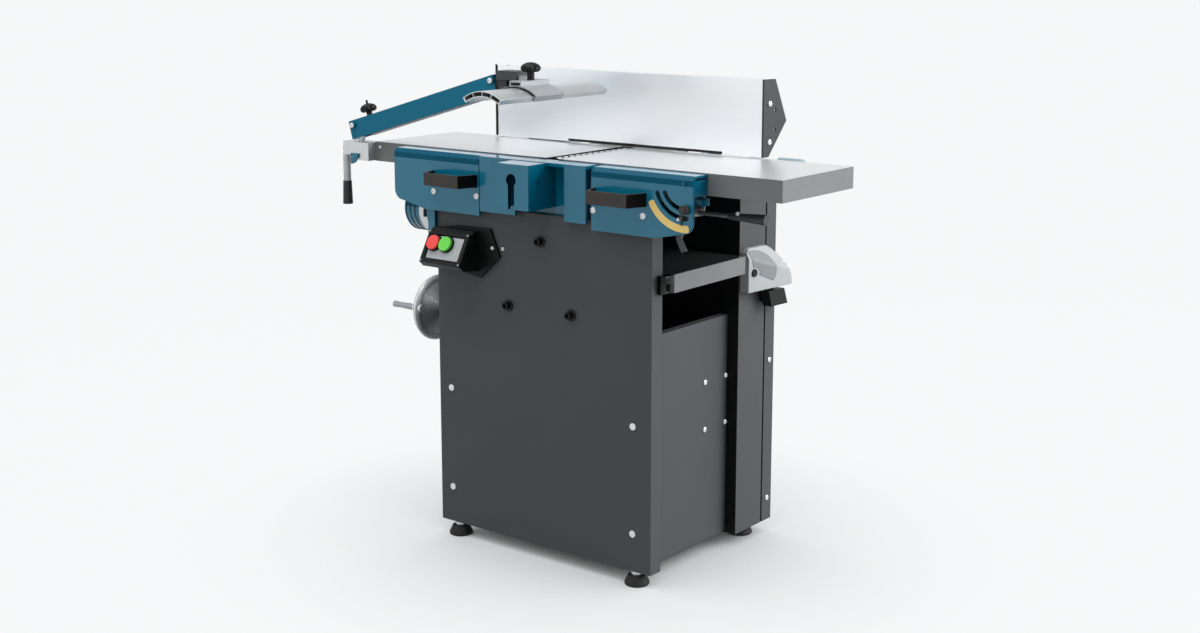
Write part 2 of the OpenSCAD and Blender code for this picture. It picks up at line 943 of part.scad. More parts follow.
module switch_box() {
    back = cab_front - bracket_t;
    color(black)
        difference() {
            along_x(switch_x[0], switch_x[1])
                polygon([
                    switch_low, switch_high, [switch_high[0] + 8, switch_high[1] + 6],
                    [back, switch_high[1] + 6], [back, switch_low[1] - 14],
                    [switch_low[0] + 8, switch_low[1] - 8],
                ]);
            on_switch_face(stop_x)
                cylinder(h = 24, r = stop_r - 4 + touch, center = true);
            on_switch_face(start_x)
                cylinder(h = 24, r = start_r - 4 + touch, center = true);
        }
}

// Push button with a wider cap, standing on the switch face
module push_button(r) {
    translate([0, 0, -7])
        cylinder(h = 13, r = r - 4);
    translate([0, 0, 5.5])
        cylinder(h = 7, r = r);
}

module stop_button() {
    color("#d8332b")
        on_switch_face(stop_x)
            push_button(stop_r);
}

module start_button() {
    color("#4fae45")
        on_switch_face(start_x)
            push_button(start_r);
}

// Tables

module table_casting(x0, x1, relief_side, lift) {
    ribs = [0.34, 0.66];
    difference() {
        union() {
            block(x0, x1, front_edge, rear_edge, table_top - table_plate, table_top);
            difference() {
                block(x0, x1, front_edge, rear_edge, table_low, table_top - 1);
                block(x0 + rib_t, x1 - rib_t, front_edge + rib_t, rear_edge - rib_t,
                    table_low - 1, table_top);
            }
            for (f = ribs)
                translate([x0 + f * (x1 - x0), 0, 0])
                    block(-rib_t / 2, rib_t / 2, front_edge + 1, rear_edge - 1, table_low + 8, table_top - 1);
        }
        block(min(0, relief_side * relief_x), max(0, relief_side * relief_x), front_edge - 1, rear_edge + 1,
            table_low - 1, relief_z);
        for (dz = [0, lift])
            rod_y(front_edge - 1, rear_edge + 1, 0, cutter_z + dz, cutter_r + lip_clear);
    }
}

module outfeed_table() {
    color(planed)
        table_casting(-outfeed_lip - outfeed_l, -outfeed_lip, -1, 0);
}

module infeed_table() {
    ear = 6;
    color(planed)
        union() {
            table_casting(infeed_lip, infeed_lip + infeed_l, 1, cut_depth);
            for (y = [lock_y - 16 - ear, lock_y + 16])
                difference() {
                    union() {
                        block(lock_x - 10, lock_x + 10, y, y + ear, lock_z, table_top - 1);
                        rod_y(y, y + ear, lock_x, lock_z, 10);
                    }
                    rod_y(y - 1, y + ear + 1, lock_x, lock_z, 4 + fit);
                }
        }
}

// Folded top flange, bevel and front plate of an apron, as a Y-Z shape
module apron_section() {
    bevel = 8;
    polygon([
        [front_edge, head_top], [apron_y + bevel, head_top], [apron_y, head_top - bevel],
        [apron_y, apron_low - 1], [apron_y + apron_t, apron_low - 1],
        [apron_y + apron_t, head_top - bevel], [apron_y + bevel, head_top - apron_t],
        [front_edge, head_top - apron_t],
    ]);
}

// Front outline of an apron: level bottom, then a rise to a rounded outer corner
module apron_outline(x_in, x_out) {
    s = sign(x_out - x_in);
    r = 22;
    rise = 20;
    knee = x_out - s * 88;
    difference() {
        union() {
            polygon([
                [x_in, head_top + 1], [x_in, apron_low], [knee, apron_low],
                [x_out - s * r, apron_low + rise - 6], [x_out - s * r, apron_low + rise + r - 6],
                [x_out, apron_low + rise + r - 6], [x_out, head_top + 1],
            ]);
            translate([x_out - s * r, apron_low + rise + r - 6])
                circle(r = r);
        }
    }
}

module apron(x_in, x_out) {
    s = sign(x_out - x_in);
    x0 = min(x_in, x_out);
    x1 = max(x_in, x_out);
    intersection() {
        along_x(x0, x1)
            apron_section();
        along_y(apron_y - 1, front_edge + 1)
            apron_outline(x_in, x_out);
    }
    block(min(x_out, x_out - s * apron_t), max(x_out, x_out - s * apron_t), apron_y + 1, front_edge,
        table_low + 1, head_top - 9);
}

module outfeed_apron() {
    color(paint_blue)
        apron(apron_left[1], apron_left[0]);
}

module infeed_apron() {
    color(paint_blue)
        difference() {
            apron(apron_right[0], apron_right[1]);
            along_y(apron_y - 1, apron_y + apron_t + 1)
                translate([quad_x, quad_z]) {
                    arc_slot(slot_outer, 9, 200, 275);
                    arc_slot(slot_inner, 9, 205, 281);
                }
            rod_y(apron_y - 1, apron_y + apron_t + 1, quad_x, quad_z, 4);
        }
}

// Bent flat-bar handle on the apron face
module bail_handle(x0, x1) {
    reach = 42;
    thick = 5;
    height = 26;
    slope = 16;
    translate([0, apron_y, table_top - 67])
        linear_extrude(height = height)
            difference() {
                polygon([[x0, 0], [x0 + slope, -reach], [x1 - slope, -reach], [x1, 0]]);
                polygon([
                    [x0 + thick, 1], [x0 + slope + thick - 1, thick - reach],
                    [x1 - slope - thick + 1, thick - reach], [x1 - thick, 1],
                ]);
            }
}

module outfeed_handle() {
    color(black)
        bail_handle(apron_left[1] - 130, apron_left[1] - 4);
}

module infeed_handle() {
    color(black)
        bail_handle(apron_right[0] + 4, apron_right[0] + 132);
}

module hinge_arms(side) {
    for (span = [arm_in, arm_out]) {
        x0 = (side > 0) ? span[0] : -span[1];
        x1 = (side > 0) ? span[1] : -span[0];
        difference() {
            union() {
                block(x0, x1, rear_edge, hinge_y, table_top - 34, table_top - 17);
                rod_x(x0, x1, hinge_y, hinge_z, knuckle_r);
                block(x0, x1, rear_edge, rear_edge + 10, table_low - 10, table_top - 17);
            }
            rod_x(x0 - 1, x1 + 1, hinge_y, hinge_z, pin_r + fit);
        }
    }
}

module outfeed_hinge_arms() {
    color(paint_blue)
        hinge_arms(-1);
}

module infeed_hinge_arms() {
    color(paint_blue)
        hinge_arms(1);
}

// Depth quadrant of the infeed table

module depth_lever() {
    y0 = apron_y + apron_t + touch;
    color(cast_grey)
        union() {
            along_y(y0, y0 + 6)
                difference() {
                    union() {
                        circle_at(quad_x, quad_z, 6);
                        polygon([
                            [quad_x - 6, quad_z], [quad_x + 6, quad_z], [quad_x + 12, quad_z - 40],
                            [quad_x + 12, quad_z - 58], [quad_x + 2, quad_z - 78],
                            [quad_x - 11, quad_z - 104], [quad_x + 1, quad_z - 127],
                            [quad_x - 9, quad_z - 131], [quad_x - 22, quad_z - 105],
                            [quad_x - 12, quad_z - 78],
                        ]);
                    }
                    circle_at(lock_at[0], lock_at[1], 4 + fit);
                }
            rod_y(apron_y - 3, y0 + 1, quad_x, quad_z, 4 - fit);
            rod_y(apron_y - 2, y0 + 1, quad_x - 6, quad_z - slot_outer + 0.4, 3);
            along_y(apron_y - 3, apron_y - 1)
                polygon([
                    [quad_x - 11, quad_z - slot_outer + 3], [quad_x - 1, quad_z - slot_outer + 3],
                    [quad_x - 5, quad_z - slot_outer - 14],
                ]);
        }
}

module circle_at(x, y, r) {
    translate([x, y])
        circle(r = r);
}

module depth_knob() {
    y0 = apron_y;
    color("#6a6460")
        union() {
            rod_y(y0 - 2, y0 + apron_t + touch + 10, lock_at[0], lock_at[1], 4);
            rod_y(y0 - 11, y0 - 1, lock_at[0], lock_at[1], 9);
            rod_y(y0 - 14, y0 - 10, lock_at[0], lock_at[1], 6.5);
        }
}

module table_lock_lever() {
    color(black)
        union() {
            rod_y(lock_y - 16 + touch, lock_y + 16 - touch, lock_x, lock_z, 10);
            rod_y(lock_y - 22, lock_y + 22, lock_x, lock_z, 4);
            rod_x(lock_x, lock_x + 84, lock_y, lock_z, 4.5);
            translate([lock_x + 80, lock_y, lock_z])
                rotate([0, 90, 0])
                    cylinder(h = 83, r1 = 6, r2 = 10.5);
        }
}

// Fence

module fence_rail() {
    half = rail_w / 2 + touch;
    cheek = 6;
    color(paint_blue)
        difference() {
            union() {
                block(rail_x - rail_w / 2, rail_x + rail_w / 2, rear_edge, hinge_y + 16, rail_z0, rail_z1);
                block(rail_x - 40, rail_x + 40, rear_edge, rear_edge + 9, table_low + 2, table_top - 1);
                block(rail_x - half - cheek, rail_x + half + cheek, guide_y[0], guide_y[1],
                    rail_z0, rail_z1 + bar_t + 2 * touch + cheek);
            }
            block(rail_x - half, rail_x + half, guide_y[0] - 1, guide_y[1] + 1,
                rail_z1, rail_z1 + bar_t + 2 * touch);
        }
}

module fence_carriage() {
    y0 = tilt_y + 10;
    low = rail_z1 + touch;
    color(cast_grey)
        difference() {
            union() {
                block(rail_x - rail_w / 2, rail_x + rail_w / 2, y0, hinge_y + 15, low, low + bar_t);
                block(rail_x - 60, rail_x + 60, y0, y0 + 10, low, low + bar_t);
                for (x = [rail_x - 60, rail_x + 44])
                    block(x, x + 16, tilt_y - 7, y0 + 1, low, tilt_z + 6);
            }
            rod_x(rail_x - 61, rail_x + 61, tilt_y, tilt_z, 4 + fit);
        }
}

module fence_plate() {
    notch_x = [-153, 246];
    lug = 14;
    color(alloy)
        difference() {
            union() {
                block(fence_x0, fence_x1, fence_y, fence_y + fence_t, fence_low, fence_low + fence_h);
                block(fence_x0, fence_x1, fence_y + fence_t - 1, fence_y + fence_t + 12,
                    fence_low + fence_h - 6, fence_low + fence_h);
                for (x = [rail_x - 43, rail_x + 29]) {
                    block(x, x + lug, fence_y + fence_t - 1, tilt_y, tilt_z - 5.5, tilt_z + 5.5);
                    rod_x(x, x + lug, tilt_y, tilt_z, 5.5);
                }
                rod_x(rail_x - 60, rail_x + 60, tilt_y, tilt_z, 4);
            }
            block(notch_x[0], notch_x[1], fence_y - 1, fence_y + fence_t + 1, fence_low - 1, fence_low + 6);
        }
}

module fence_end_plates() {
    color("#4a4d4f")
        for (x = [fence_x0 - end_t, fence_x1])
            difference() {
                along_x(x, x + end_t)
                    polygon([
                        [fence_y, fence_low], [fence_y, fence_low + fence_h],
                        [fence_y + 42, fence_low + fence_h - 1], [fence_y + 85, fence_low + 68],
                        [fence_y + 20, fence_low],
                    ]);
                for (z = [52, 92])
                    rod_x(x - 1, x + end_t + 1, fence_y + 43, fence_low + z, 4);
            }
}

// Bridge guard

module guard_clamp_block() {
    ear = 5;
    color(alloy)
        difference() {
            union() {
                block(clamp_left, outfeed_end, arm_y - 20, arm_y + 20, clamp_z - 11, head_top);
                block(outfeed_end - 30, outfeed_end, arm_y - 20, arm_y + 20, table_low + 1, head_top);
                for (y = [arm_y - 10, arm_y + 10 - ear]) {
                    block(pivot_x - 5, pivot_x + 10, y, y + ear, head_top - 1, pivot_z);
                    rod_y(y, y + ear, pivot_x, pivot_z, ear_r);
                }
            }
            rod_y(arm_y - 20, arm_y + 20, pivot_x, pivot_z, 4 + fit);
            rod_y(arm_y - 11, arm_y + 11, pivot_x + 4, pivot_z - link_drop, 3 + fit);
            rod_x(clamp_left - 1, clamp_left + 30, arm_y, clamp_z, 6 + fit);
        }
}

// Moves what is drawn along X into the line of the raised arm
module on_arm() {
    translate([pivot_x, arm_y, pivot_z])
        rotate([0, -arm_angle, 0])
            children();
}

module guard_arm() {
    wall = 3;
    color(paint_blue)
        on_arm()
            union() {
                difference() {
                    translate([-arm_over[0], -arm_w / 2, arm_top - arm_h])
                        cube([arm_l + arm_over[0] + arm_over[1], arm_w, arm_h]);
                    translate([-arm_over[0] - 1, wall - arm_w / 2, arm_top - arm_h - 1])
                        cube([arm_l + arm_over[0] + arm_over[1] + 2, arm_w - 2 * wall, arm_h - wall + 1]);
                }
                for (x = [0, arm_l]) {
                    translate([x, arm_w / 2 + 4, 0])
                        rotate([90, 0, 0])
                            cylinder(h = arm_w + 8, r = 4);
                    for (y = [-arm_w / 2, arm_w / 2 + 4])
                        translate([x, y, 0])
                            rotate([90, 0, 0])
                                cylinder(h = 4, r = 7);
                }
            }
}

module guard_link() {
    thick = 8;
    color(alloy)
        translate([pivot_x + 4, arm_y, pivot_z - link_drop])
            rotate([0, -arm_angle, 0])
                union() {
                    translate([0, -thick / 2, -5])
                        cube([arm_l, thick, 10]);
                    for (x = [0, arm_l]) {
                        translate([x, thick / 2, 0])
                            rotate([90, 0, 0])
                                cylinder(h = thick, r = 5);
                        translate([x, 10, 0])
                            rotate([90, 0, 0])
                                cylinder(h = 20, r = 3);
                    }
                }
}

module guard_head() {
    ear = 5;
    color(black)
        difference() {
            union() {
                for (y = [arm_y - 10, arm_y + 10 - ear]) {
                    block(head_x, head_x + 32, y, y + ear, head_z - link_drop - 6, head_z + 6);
                    block(head_x - 2, head_x + 10, y, y + ear, head_z - link_drop - 6, head_z);
                    rod_y(y, y + ear, head_x, head_z, ear_r);
                }
                block(head_x + 16, head_x + 70, arm_y - 19, arm_y + 19, head_z + 3, head_z + 21);
            }
            rod_y(arm_y - 20, arm_y + 20, head_x, head_z, 4 + fit);
            rod_y(arm_y - 11, arm_y + 11, head_x + 4, head_z - link_drop, 3 + fit);
        }
}

// Flat piece of a ring round the axis of the guard arch, angles from the crown
module guard_ring(r_in, r_out, from, to) {
    translate([guard_x, guard_cz])
        intersection() {
            difference() {
                circle(r = r_out, $fn = 96);
                circle(r = r_in, $fn = 96);
            }
            wedge(90 + from, 90 + to, 1.2 * r_out);
        }
}

module guard_profile() {
    cells = 4;
    skin = 1.6;
    step = (2 * guard_half - 3) / cells;
    color(alloy)
        along_y(guard_rear - guard_l, guard_rear)
            difference() {
                guard_ring(guard_r - guard_wall, guard_r, -guard_half, guard_half);
                for (i = [0 : cells - 1])
                    guard_ring(guard_r - guard_wall + skin, guard_r - skin,
                        1.5 - guard_half + i * step, 0.5 - guard_half + (i + 1) * step);
            }
}

module guard_carriage() {
    inner = guard_r + guard_gap;
    outer = inner + sleeve_wall;
    lip_from = guard_half + 0.5;
    lip_to = guard_half + 2.5;
    color(alloy)
        union() {
            along_y(sleeve_y[0], sleeve_y[1])
                union() {
                    guard_ring(inner, outer, -lip_to, lip_to);
                    guard_ring(guard_r - 9, outer, lip_from, lip_to);
                    guard_ring(guard_r - 9, outer, -lip_to, -lip_from);
                    difference() {
                        translate([guard_x - 15, guard_cz + outer - 3])
                            square([30, rib_h + 3]);
                        translate([guard_x - 12, guard_cz + outer + 0.5])
                            square([24, rib_h - 3.5]);
                    }
                }
            difference() {
                block(head_x + 70, guard_x - 13, arm_y - 14, arm_y + 14, head_z - 8, head_z + 12);
                rod_y(arm_y - 15, arm_y + 15, guard_x, guard_cz, inner + 1);
            }
        }
}

knob_r = 20;
carriage_top = guard_cz + guard_r + guard_gap + sleeve_wall + rib_h;

module guard_knob() {
    color(black)
        translate([guard_x, arm_y - 12, carriage_top + touch])
            lobed_knob(knob_r, 16, 7.5, 16);
}

module arm_knob() {
    color(black)
        on_arm()
            translate([41, 0, arm_top + touch])
                lobed_knob(18, 15, 6.5, 9);
}

module clamp_lever() {
    grip_l = 52;
    tube_l = 72;
    color(steel)
        union() {
            rod_x(clamp_x, clamp_left + 26, arm_y, clamp_z, 6);
            translate([clamp_x, arm_y, clamp_z])
                sphere(r = 8.5);
            rod_z(clamp_z - tube_l, clamp_z, clamp_x, arm_y, 6.5);
            translate([clamp_x, arm_y, clamp_z - tube_l - grip_l])
                cylinder(h = grip_l, r1 = 11, r2 = 9.5);
        }
}

// Feed lever on the side of the drive case

// Wedge-shaped cover: its face leans outwards to the rear and slopes back at the top
module feed_lever_cover() {
    x = cab_right;
    front = drive_wall + 5;
    rear = cab_rear;
    low = lever_z - 40;
    top = lever_z + 50;
    color("#c2c5c6")
        difference() {
            intersection() {
                along_x(x, x + 44)
                    intersection() {
                        polygon([
                            [front, low], [front, top - 8], [front + 12, top], [rear, top - 3],
                            [rear, low + 2],
                        ]);
                        translate([front + 30, low - 4])
                            circle(r = 104, $fn = 96);
                    }
                translate([0, 0, low - 1])
                    linear_extrude(height = top - low + 2)
                        polygon([[x, front], [x + 20, front], [x + 41, rear], [x, rear]]);
                along_y(front - 1, rear + 1)
                    polygon([
                        [x, low - 1], [x + 44, low - 1], [x + 44, lever_z - 14], [x + 10, top], [x, top],
                    ]);
            }
            translate([0, 0, low - 1])
                linear_extrude(height = lever_z + 14 - low)
                    polygon([[x - 1, front + 5], [x + 15, front + 5], [x + 34, rear - 5], [x - 1, rear - 5]]);
            rod_x(x - 1, x + 44, lever_y, lever_z, 8 + fit);
        }
}

module feed_lever() {
    x = cab_right;
    color(black)
        union() {
            rod_x(x + touch, x + 25, lever_y, lever_z, 8);
            along_x(x + 3, x + 14)
                polygon([
                    [lever_y - 6, lever_z - 5], [lever_y + 5, lever_z + 6],
                    [lever_y + 70, lever_z - 42], [lever_y + 100, lever_z - 48],
                    [lever_y + 110, lever_z - 70], [lever_y + 52, lever_z - 70],
                    [lever_y + 46, lever_z - 46],
                ]);
            along_x(x + 10, x + 32)
                polygon([
                    [lever_y + 42, lever_z - 44], [lever_y + 102, lever_z - 46],
                    [lever_y + 116, lever_z - 80], [lever_y + 54, lever_z - 78],
                ]);
        }
}

place() {
    base_pan();
    front_panel();
    left_side_panel();
    right_side_panel();
    drive_case();
    drive_cover();
    panel_screws();
    feet();
    front_head_casting();
    rear_head_plate();
    cutter_bearings();
    feed_gearbox();
    motor();
    drive_belt();
    guide_column();
    dust_hood();
    dust_port();
    switch_bracket();
    switch_box();
    feed_lever_cover();
    hinge_pin();
    cutterhead();
    cutter_inserts();
    cutter_pulley();
    motor_pulley();
    infeed_roller();
    outfeed_roller();
    thicknesser_table();
    elevating_nut();
    elevating_screw();
    handwheel();
    handwheel_shaft();
    crank_grip();
    outfeed_table();
    outfeed_apron();
    outfeed_handle();
    outfeed_hinge_arms();
    fence_rail();
    guard_clamp_block();
    infeed_hinge_arms();
    infeed_table();
    infeed_apron();
    infeed_handle();
    depth_lever();
    depth_knob();
    table_lock_lever();
    fence_carriage();
    fence_plate();
    fence_end_plates();
    guard_arm();
    guard_link();
    guard_head();
    guard_carriage();
    guard_profile();
    guard_knob();
    arm_knob();
    clamp_lever();
    stop_button();
    start_button();
    feed_lever();
}
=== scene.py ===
"""Looks of the combination planer thicknesser: finishes, small fittings, light and camera."""

import json
import math

import bmesh
import bpy
from mathutils import Matrix, Vector


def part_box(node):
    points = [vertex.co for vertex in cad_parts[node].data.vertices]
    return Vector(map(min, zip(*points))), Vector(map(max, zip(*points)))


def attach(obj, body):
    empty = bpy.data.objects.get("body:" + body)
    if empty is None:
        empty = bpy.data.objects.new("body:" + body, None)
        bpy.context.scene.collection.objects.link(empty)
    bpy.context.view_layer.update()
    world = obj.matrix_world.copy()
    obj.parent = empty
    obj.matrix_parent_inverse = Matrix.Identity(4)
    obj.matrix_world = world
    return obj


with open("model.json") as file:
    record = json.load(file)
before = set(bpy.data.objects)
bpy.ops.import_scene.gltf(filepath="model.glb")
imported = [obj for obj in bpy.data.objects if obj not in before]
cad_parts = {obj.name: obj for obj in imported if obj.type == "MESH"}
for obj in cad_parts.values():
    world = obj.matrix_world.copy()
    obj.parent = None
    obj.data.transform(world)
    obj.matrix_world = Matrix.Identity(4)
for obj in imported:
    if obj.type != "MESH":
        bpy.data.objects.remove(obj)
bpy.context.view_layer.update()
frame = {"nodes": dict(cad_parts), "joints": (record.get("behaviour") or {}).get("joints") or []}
nodes = frame["nodes"]

MM = 0.001
UP = Vector((0, 0, 1))
TO_FRONT = Vector((0, -1, 0))
TO_REAR = Vector((0, 1, 0))
TO_RIGHT = Vector((1, 0, 0))

cutter_lo, cutter_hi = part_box("cutterhead")
table_lo, table_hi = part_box("outfeed_table")
bed_lo, bed_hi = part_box("thicknesser_table")
table_top = table_hi.z
UNDER_CUTTER = Vector(((cutter_lo.x + cutter_hi.x) / 2, (table_lo.y + table_hi.y) / 2, 0))


def spot(x, y, z):
    """A place in the row frame, from millimetres off the floor point under the cutter."""
    return UNDER_CUTTER + Vector((x, y, z)) * MM


def at_x(x):
    return spot(x, 0, 0).x


def at_y(y):
    return spot(0, y, 0).y


def joint(name):
    return next(j for j in frame["joints"] if j["name"] == name)


def joint_place(name):
    return Vector(joint(name)["pos_m"])


def joint_axis(name):
    return Vector(joint(name)["axis"]).normalized()


def tone(code):
    """The linear colour of a screen colour such as #457088, by the sRGB curve."""
    parts = [int(code[i : i + 2], 16) / 255 for i in (1, 3, 5)]
    return (*[p / 12.92 if p <= 0.04045 else ((p + 0.055) / 1.055) ** 2.4 for p in parts], 1)


# Finishes

BLUE = ("#00708d", "#1382a0")
# Painted shade on the blue paint; the depth lever's pivot end uses this colour too
SHADE_AND_PIVOT_BLUE = "#005670"
# Painted shade on the head's low ledge
LEDGE_SHADE_BLUE = "#003546"
CABINET_GREY = ("#494c4e", "#585d5f")
# Painted shade inside the cabinet and in the drive cover's seam
INNER_SHADE_BLACK = "#050606"
# Painted shade in the cutter's slot
SLOT_SHADE_BLACK = "#040404"
# Painted shade inside the keyhole
KEYHOLE_SHADE_BLACK = "#020303"
# Painted shade on a handle's right end
HANDLE_END_SHADE_BLACK = "#030303"

# The part of a noise's range that is spread over two tones
PATCHES = (0.3, 0.7)
# How far a normal points along an axis where a face counts as looking that way
LOOKING = 0.7
SLOT_REACH = 32 * MM
PLANED_DEPTH = 2 * MM
PLANED_LINES = (0.6, 45, 1)
APRON_BAND = 21 * MM
COVER_LIP = 11.2 * MM
KEYHOLE_X = (-34, -3)
KEYHOLE_Z = (0.7, table_top - 14 * MM)
KEYHOLE_Y = (1.5 * MM, 60 * MM)
LEDGE_DROP = 40 * MM
SLEEVE_TOP = 739 * MM
DEPTH_PIVOT_Z = 795 * MM
LOCK_GRIP_X = 378


class Value:
    """One socket in a shader tree; arithmetic on it adds Math nodes."""

    def __init__(self, shading, socket):
        self.shading = shading
        self.socket = socket

    def __add__(self, other):
        return self.shading.math("ADD", self, other)

    def __sub__(self, other):
        return self.shading.math("SUBTRACT", self, other)

    def __rsub__(self, other):
        return self.shading.math("SUBTRACT", other, self)

    def __mul__(self, other):
        return self.shading.math("MULTIPLY", self, other)

    def __gt__(self, other):
        return self.shading.math("GREATER_THAN", self, other)

    def __lt__(self, other):
        return self.shading.math("LESS_THAN", self, other)


class Shading:
    """A shader tree under construction, with the patterns that finishes and studio share."""

    def __init__(self, owner):
        owner.use_nodes = True
        self.tree = owner.node_tree

    def node(self, kind, settings, inputs, output=0):
        made = self.tree.nodes.new(kind)
        for key, value in settings.items():
            setattr(made, key, value)
        for key, value in inputs.items():
            self.feed(made.inputs[key], value)
        return Value(self, made.outputs[output])

    def feed(self, socket, value):
        if isinstance(value, Value):
            self.tree.links.new(value.socket, socket)
        else:
            socket.default_value = value

    def math(self, operation, *operands):
        return self.node("ShaderNodeMath", {"operation": operation}, dict(enumerate(operands)))

    def place(self):
        return self.node("ShaderNodeTexCoord", {}, {}, "Object")

    def noise(self, scale, detail, stretch=(1, 1, 1)):
        where = self.node("ShaderNodeMapping", {}, {"Vector": self.place(), "Scale": stretch})
        return self.node(
            "ShaderNodeTexNoise", {}, {"Vector": where, "Scale": scale, "Detail": detail}, "Fac"
        )

    def rays(self, *kinds):
        """Whether the ray that sees the surface is of one of these kinds."""
        found = [self.node("ShaderNodeLightPath", {}, {}, kind) for kind in kinds]
        return self.clamp(sum(found[1:], found[0]))

    def axis(self, name, what=None):
        """One coordinate of the place, or of a direction."""
        return self.node("ShaderNodeSeparateXYZ", {}, {0: what or self.place()}, name)

    def facing(self):
        return self.node("ShaderNodeNewGeometry", {}, {}, "Normal")

    def looking(self, name):
        """How far the surface looks along an axis."""
        return self.axis(name, self.facing())

    def clamp(self, value):
        return self.node("ShaderNodeClamp", {}, {"Value": value})

    def ramp(self, value, low, high):
        return self.node("ShaderNodeMapRange", {}, {0: value, 1: low, 2: high, 3: 0.0, 4: 1.0})

    def blend(self, share, first, second):
        return self.node(
            "ShaderNodeMix", {"data_type": "RGBA"}, {0: share, 6: first, 7: second}, 2
        )


class Finish(Shading):
    """A material under construction."""

    def __init__(self, name):
        self.material = bpy.data.materials.new(name)
        super().__init__(self.material)
        self.shader = self.tree.nodes["Principled BSDF"]

    def rounded(self, radius):
        return self.node("ShaderNodeBevel", {"samples": 3}, {"Radius": radius})

    def edges(self, rounding):
        """How close the surface is to a sharp edge, from the bend of the rounded normal."""
        along = self.node(
            "ShaderNodeVectorMath", {"operation": "DOT_PRODUCT"},
            {0: rounding, 1: self.facing()}, "Value",
        )
        return self.clamp((1 - along) * 3.0)

    def bump(self, height, strength, distance, normal):
        return self.node(
            "ShaderNodeBump", {},
            {"Height": height, "Strength": strength, "Distance": distance, "Normal": normal},
        )

    def mottled(self, pattern, first, second, share=1.0):
        """Two tones in the patches of a pattern."""
        return self.blend(self.ramp(pattern, *PATCHES) * share, tone(first), tone(second))

    def uneven(self, middle, scale, detail, spread=0.16):
        """A roughness that varies round its middle value."""
        return self.noise(scale, detail) * spread + (middle - spread / 2)

    def fed(self, name):
        """What feeds a socket of the shader so far."""
        return Value(self, self.shader.inputs[name].links[0].from_socket)

    def set(self, **sockets):
        for name, value in sockets.items():
            self.feed(self.shader.inputs[name.replace("_", " ").title()], value)
        return self

    def partly(self, share, colour):
        """Gives part of the surface another colour."""
        return self.set(base_color=self.blend(share, self.fed("Base Color"), tone(colour)))

    def shine(self, level):
        """Strength of the plain reflection."""
        self.shader.inputs["Specular IOR Level"].default_value = level
        return self


def paint(name, colour, worn, roughness, grain, depth, radius=1.2 * MM, shine=0.5):
    """Sprayed paint: orange-peel skin, cloudy tone and a lighter line where edges are rubbed."""
    f = Finish(name)
    rounding = f.rounded(radius)
    coat = f.mottled(f.noise(scale=5, detail=4), colour, worn, share=0.18)
    rubbed = f.edges(rounding) * f.ramp(f.noise(scale=45, detail=4), low=0.35, high=0.75)
    rubbed_share = 0.55
    f.set(
        base_color=f.blend(rubbed * rubbed_share, coat, tone(worn)),
        roughness=f.uneven(roughness, scale=11, detail=3),
        normal=f.bump(f.noise(grain, detail=2), depth, 1 * MM, rounding),
        coat_roughness=0.12,
    )
    return f.shine(shine)


def cast_skin(f, rounding):
    """Rough skin of a casting under grey paint, as colour and normal."""
    colour = f.mottled(f.noise(scale=14, detail=4), "#707273", "#7d8081", share=0.5)
    pits = f.noise(scale=260, detail=4)
    return colour, f.bump(pits, strength=0.2, distance=1.2 * MM, normal=rounding)


def cast_iron(name):
    f = Finish(name)
    colour, normal = cast_skin(f, f.rounded(2 * MM))
    roughness = f.uneven(0.6, scale=30, detail=3, spread=0.2)
    return f.set(base_color=colour, roughness=roughness, normal=normal)


def planed_iron(name, height, metal, polish):
    """A casting whose upper face is planed bright, with fine tool lines along the table."""
    f = Finish(name)
    skin, rough_normal = cast_skin(f, f.rounded(1.2 * MM))
    top = (f.axis("Z") > height - PLANED_DEPTH) * (f.looking("Z") > LOOKING)
    lines = f.noise(scale=6, detail=5, stretch=PLANED_LINES)
    smear = f.noise(scale=4, detail=3)
    smear_share, cast_roughness = 0.3, 0.58
    bright = f.mottled(lines, "#e6e8e9", "#eff0f1")
    worn = f.blend(f.ramp(smear, low=0.4, high=0.85) * smear_share, bright, tone("#d6d9da"))
    return f.set(
        base_color=f.blend(top, skin, worn),
        metallic=top * metal,
        roughness=cast_roughness - top * (polish - smear * 0.12 - lines * 0.04),
        normal=f.bump(lines, strength=0.015, distance=0.4 * MM, normal=rough_normal),
    )


def table_iron():
    """Planed table whose lips are painted black where they look into the cutter's slot, as
    painted shade in the slot.
    """
    f = planed_iron("planed_table", table_top, metal=0.85, polish=0.3)
    across = f.axis("X") - UNDER_CUTTER.x
    slot = (across > -SLOT_REACH) * (across < SLOT_REACH)
    # Painted shade: the lips' faces in the slot are black.
    return f.partly(slot * (f.looking("Z") < LOOKING), SLOT_SHADE_BLACK)


def drawn_metal(name, colour, dark, roughness, lines, metallic=0.95):
    """Metal with fine lines along the way that it was drawn or turned."""
    f = Finish(name)
    streaks = f.noise(scale=9, detail=5, stretch=lines)
    streak_depth = 0.08
    handled = f.uneven(roughness - streak_depth / 2, scale=9, detail=4, spread=0.1)
    return f.set(
        base_color=f.mottled(streaks, dark, colour),
        metallic=metallic,
        roughness=streaks * streak_depth + handled,
        normal=f.bump(streaks, strength=0.03, distance=0.4 * MM, normal=f.rounded(0.8 * MM)),
    )


def moulded(name, colour, paler, roughness, grain=900, radius=1.2 * MM, shine=0.5):
    """Moulded plastic: fine spark-eroded grain and rubbed corners."""
    f = Finish(name)
    rounding = f.rounded(radius)
    skin = f.mottled(f.noise(scale=20, detail=3), colour, paler, share=0.3)
    rubbed_share = 0.4
    f.set(
        base_color=f.blend(f.edges(rounding) * rubbed_share, skin, tone(paler)),
        roughness=f.uneven(roughness, scale=60, detail=3),
        normal=f.bump(
            f.noise(grain, detail=2), strength=0.1, distance=0.6 * MM, normal=rounding
        ),
    )
    return f.shine(shine)


def cabinet_paint(name, inside=None):
    """Cabinet paint, with painted shade: black where the given test finds faces that look into
    the machine or sit in a seam.
    """
    f = paint(name, *CABINET_GREY, roughness=0.5, grain=700, depth=0.04, shine=0.25)
    return f.partly(inside(f), INNER_SHADE_BLACK) if inside else f


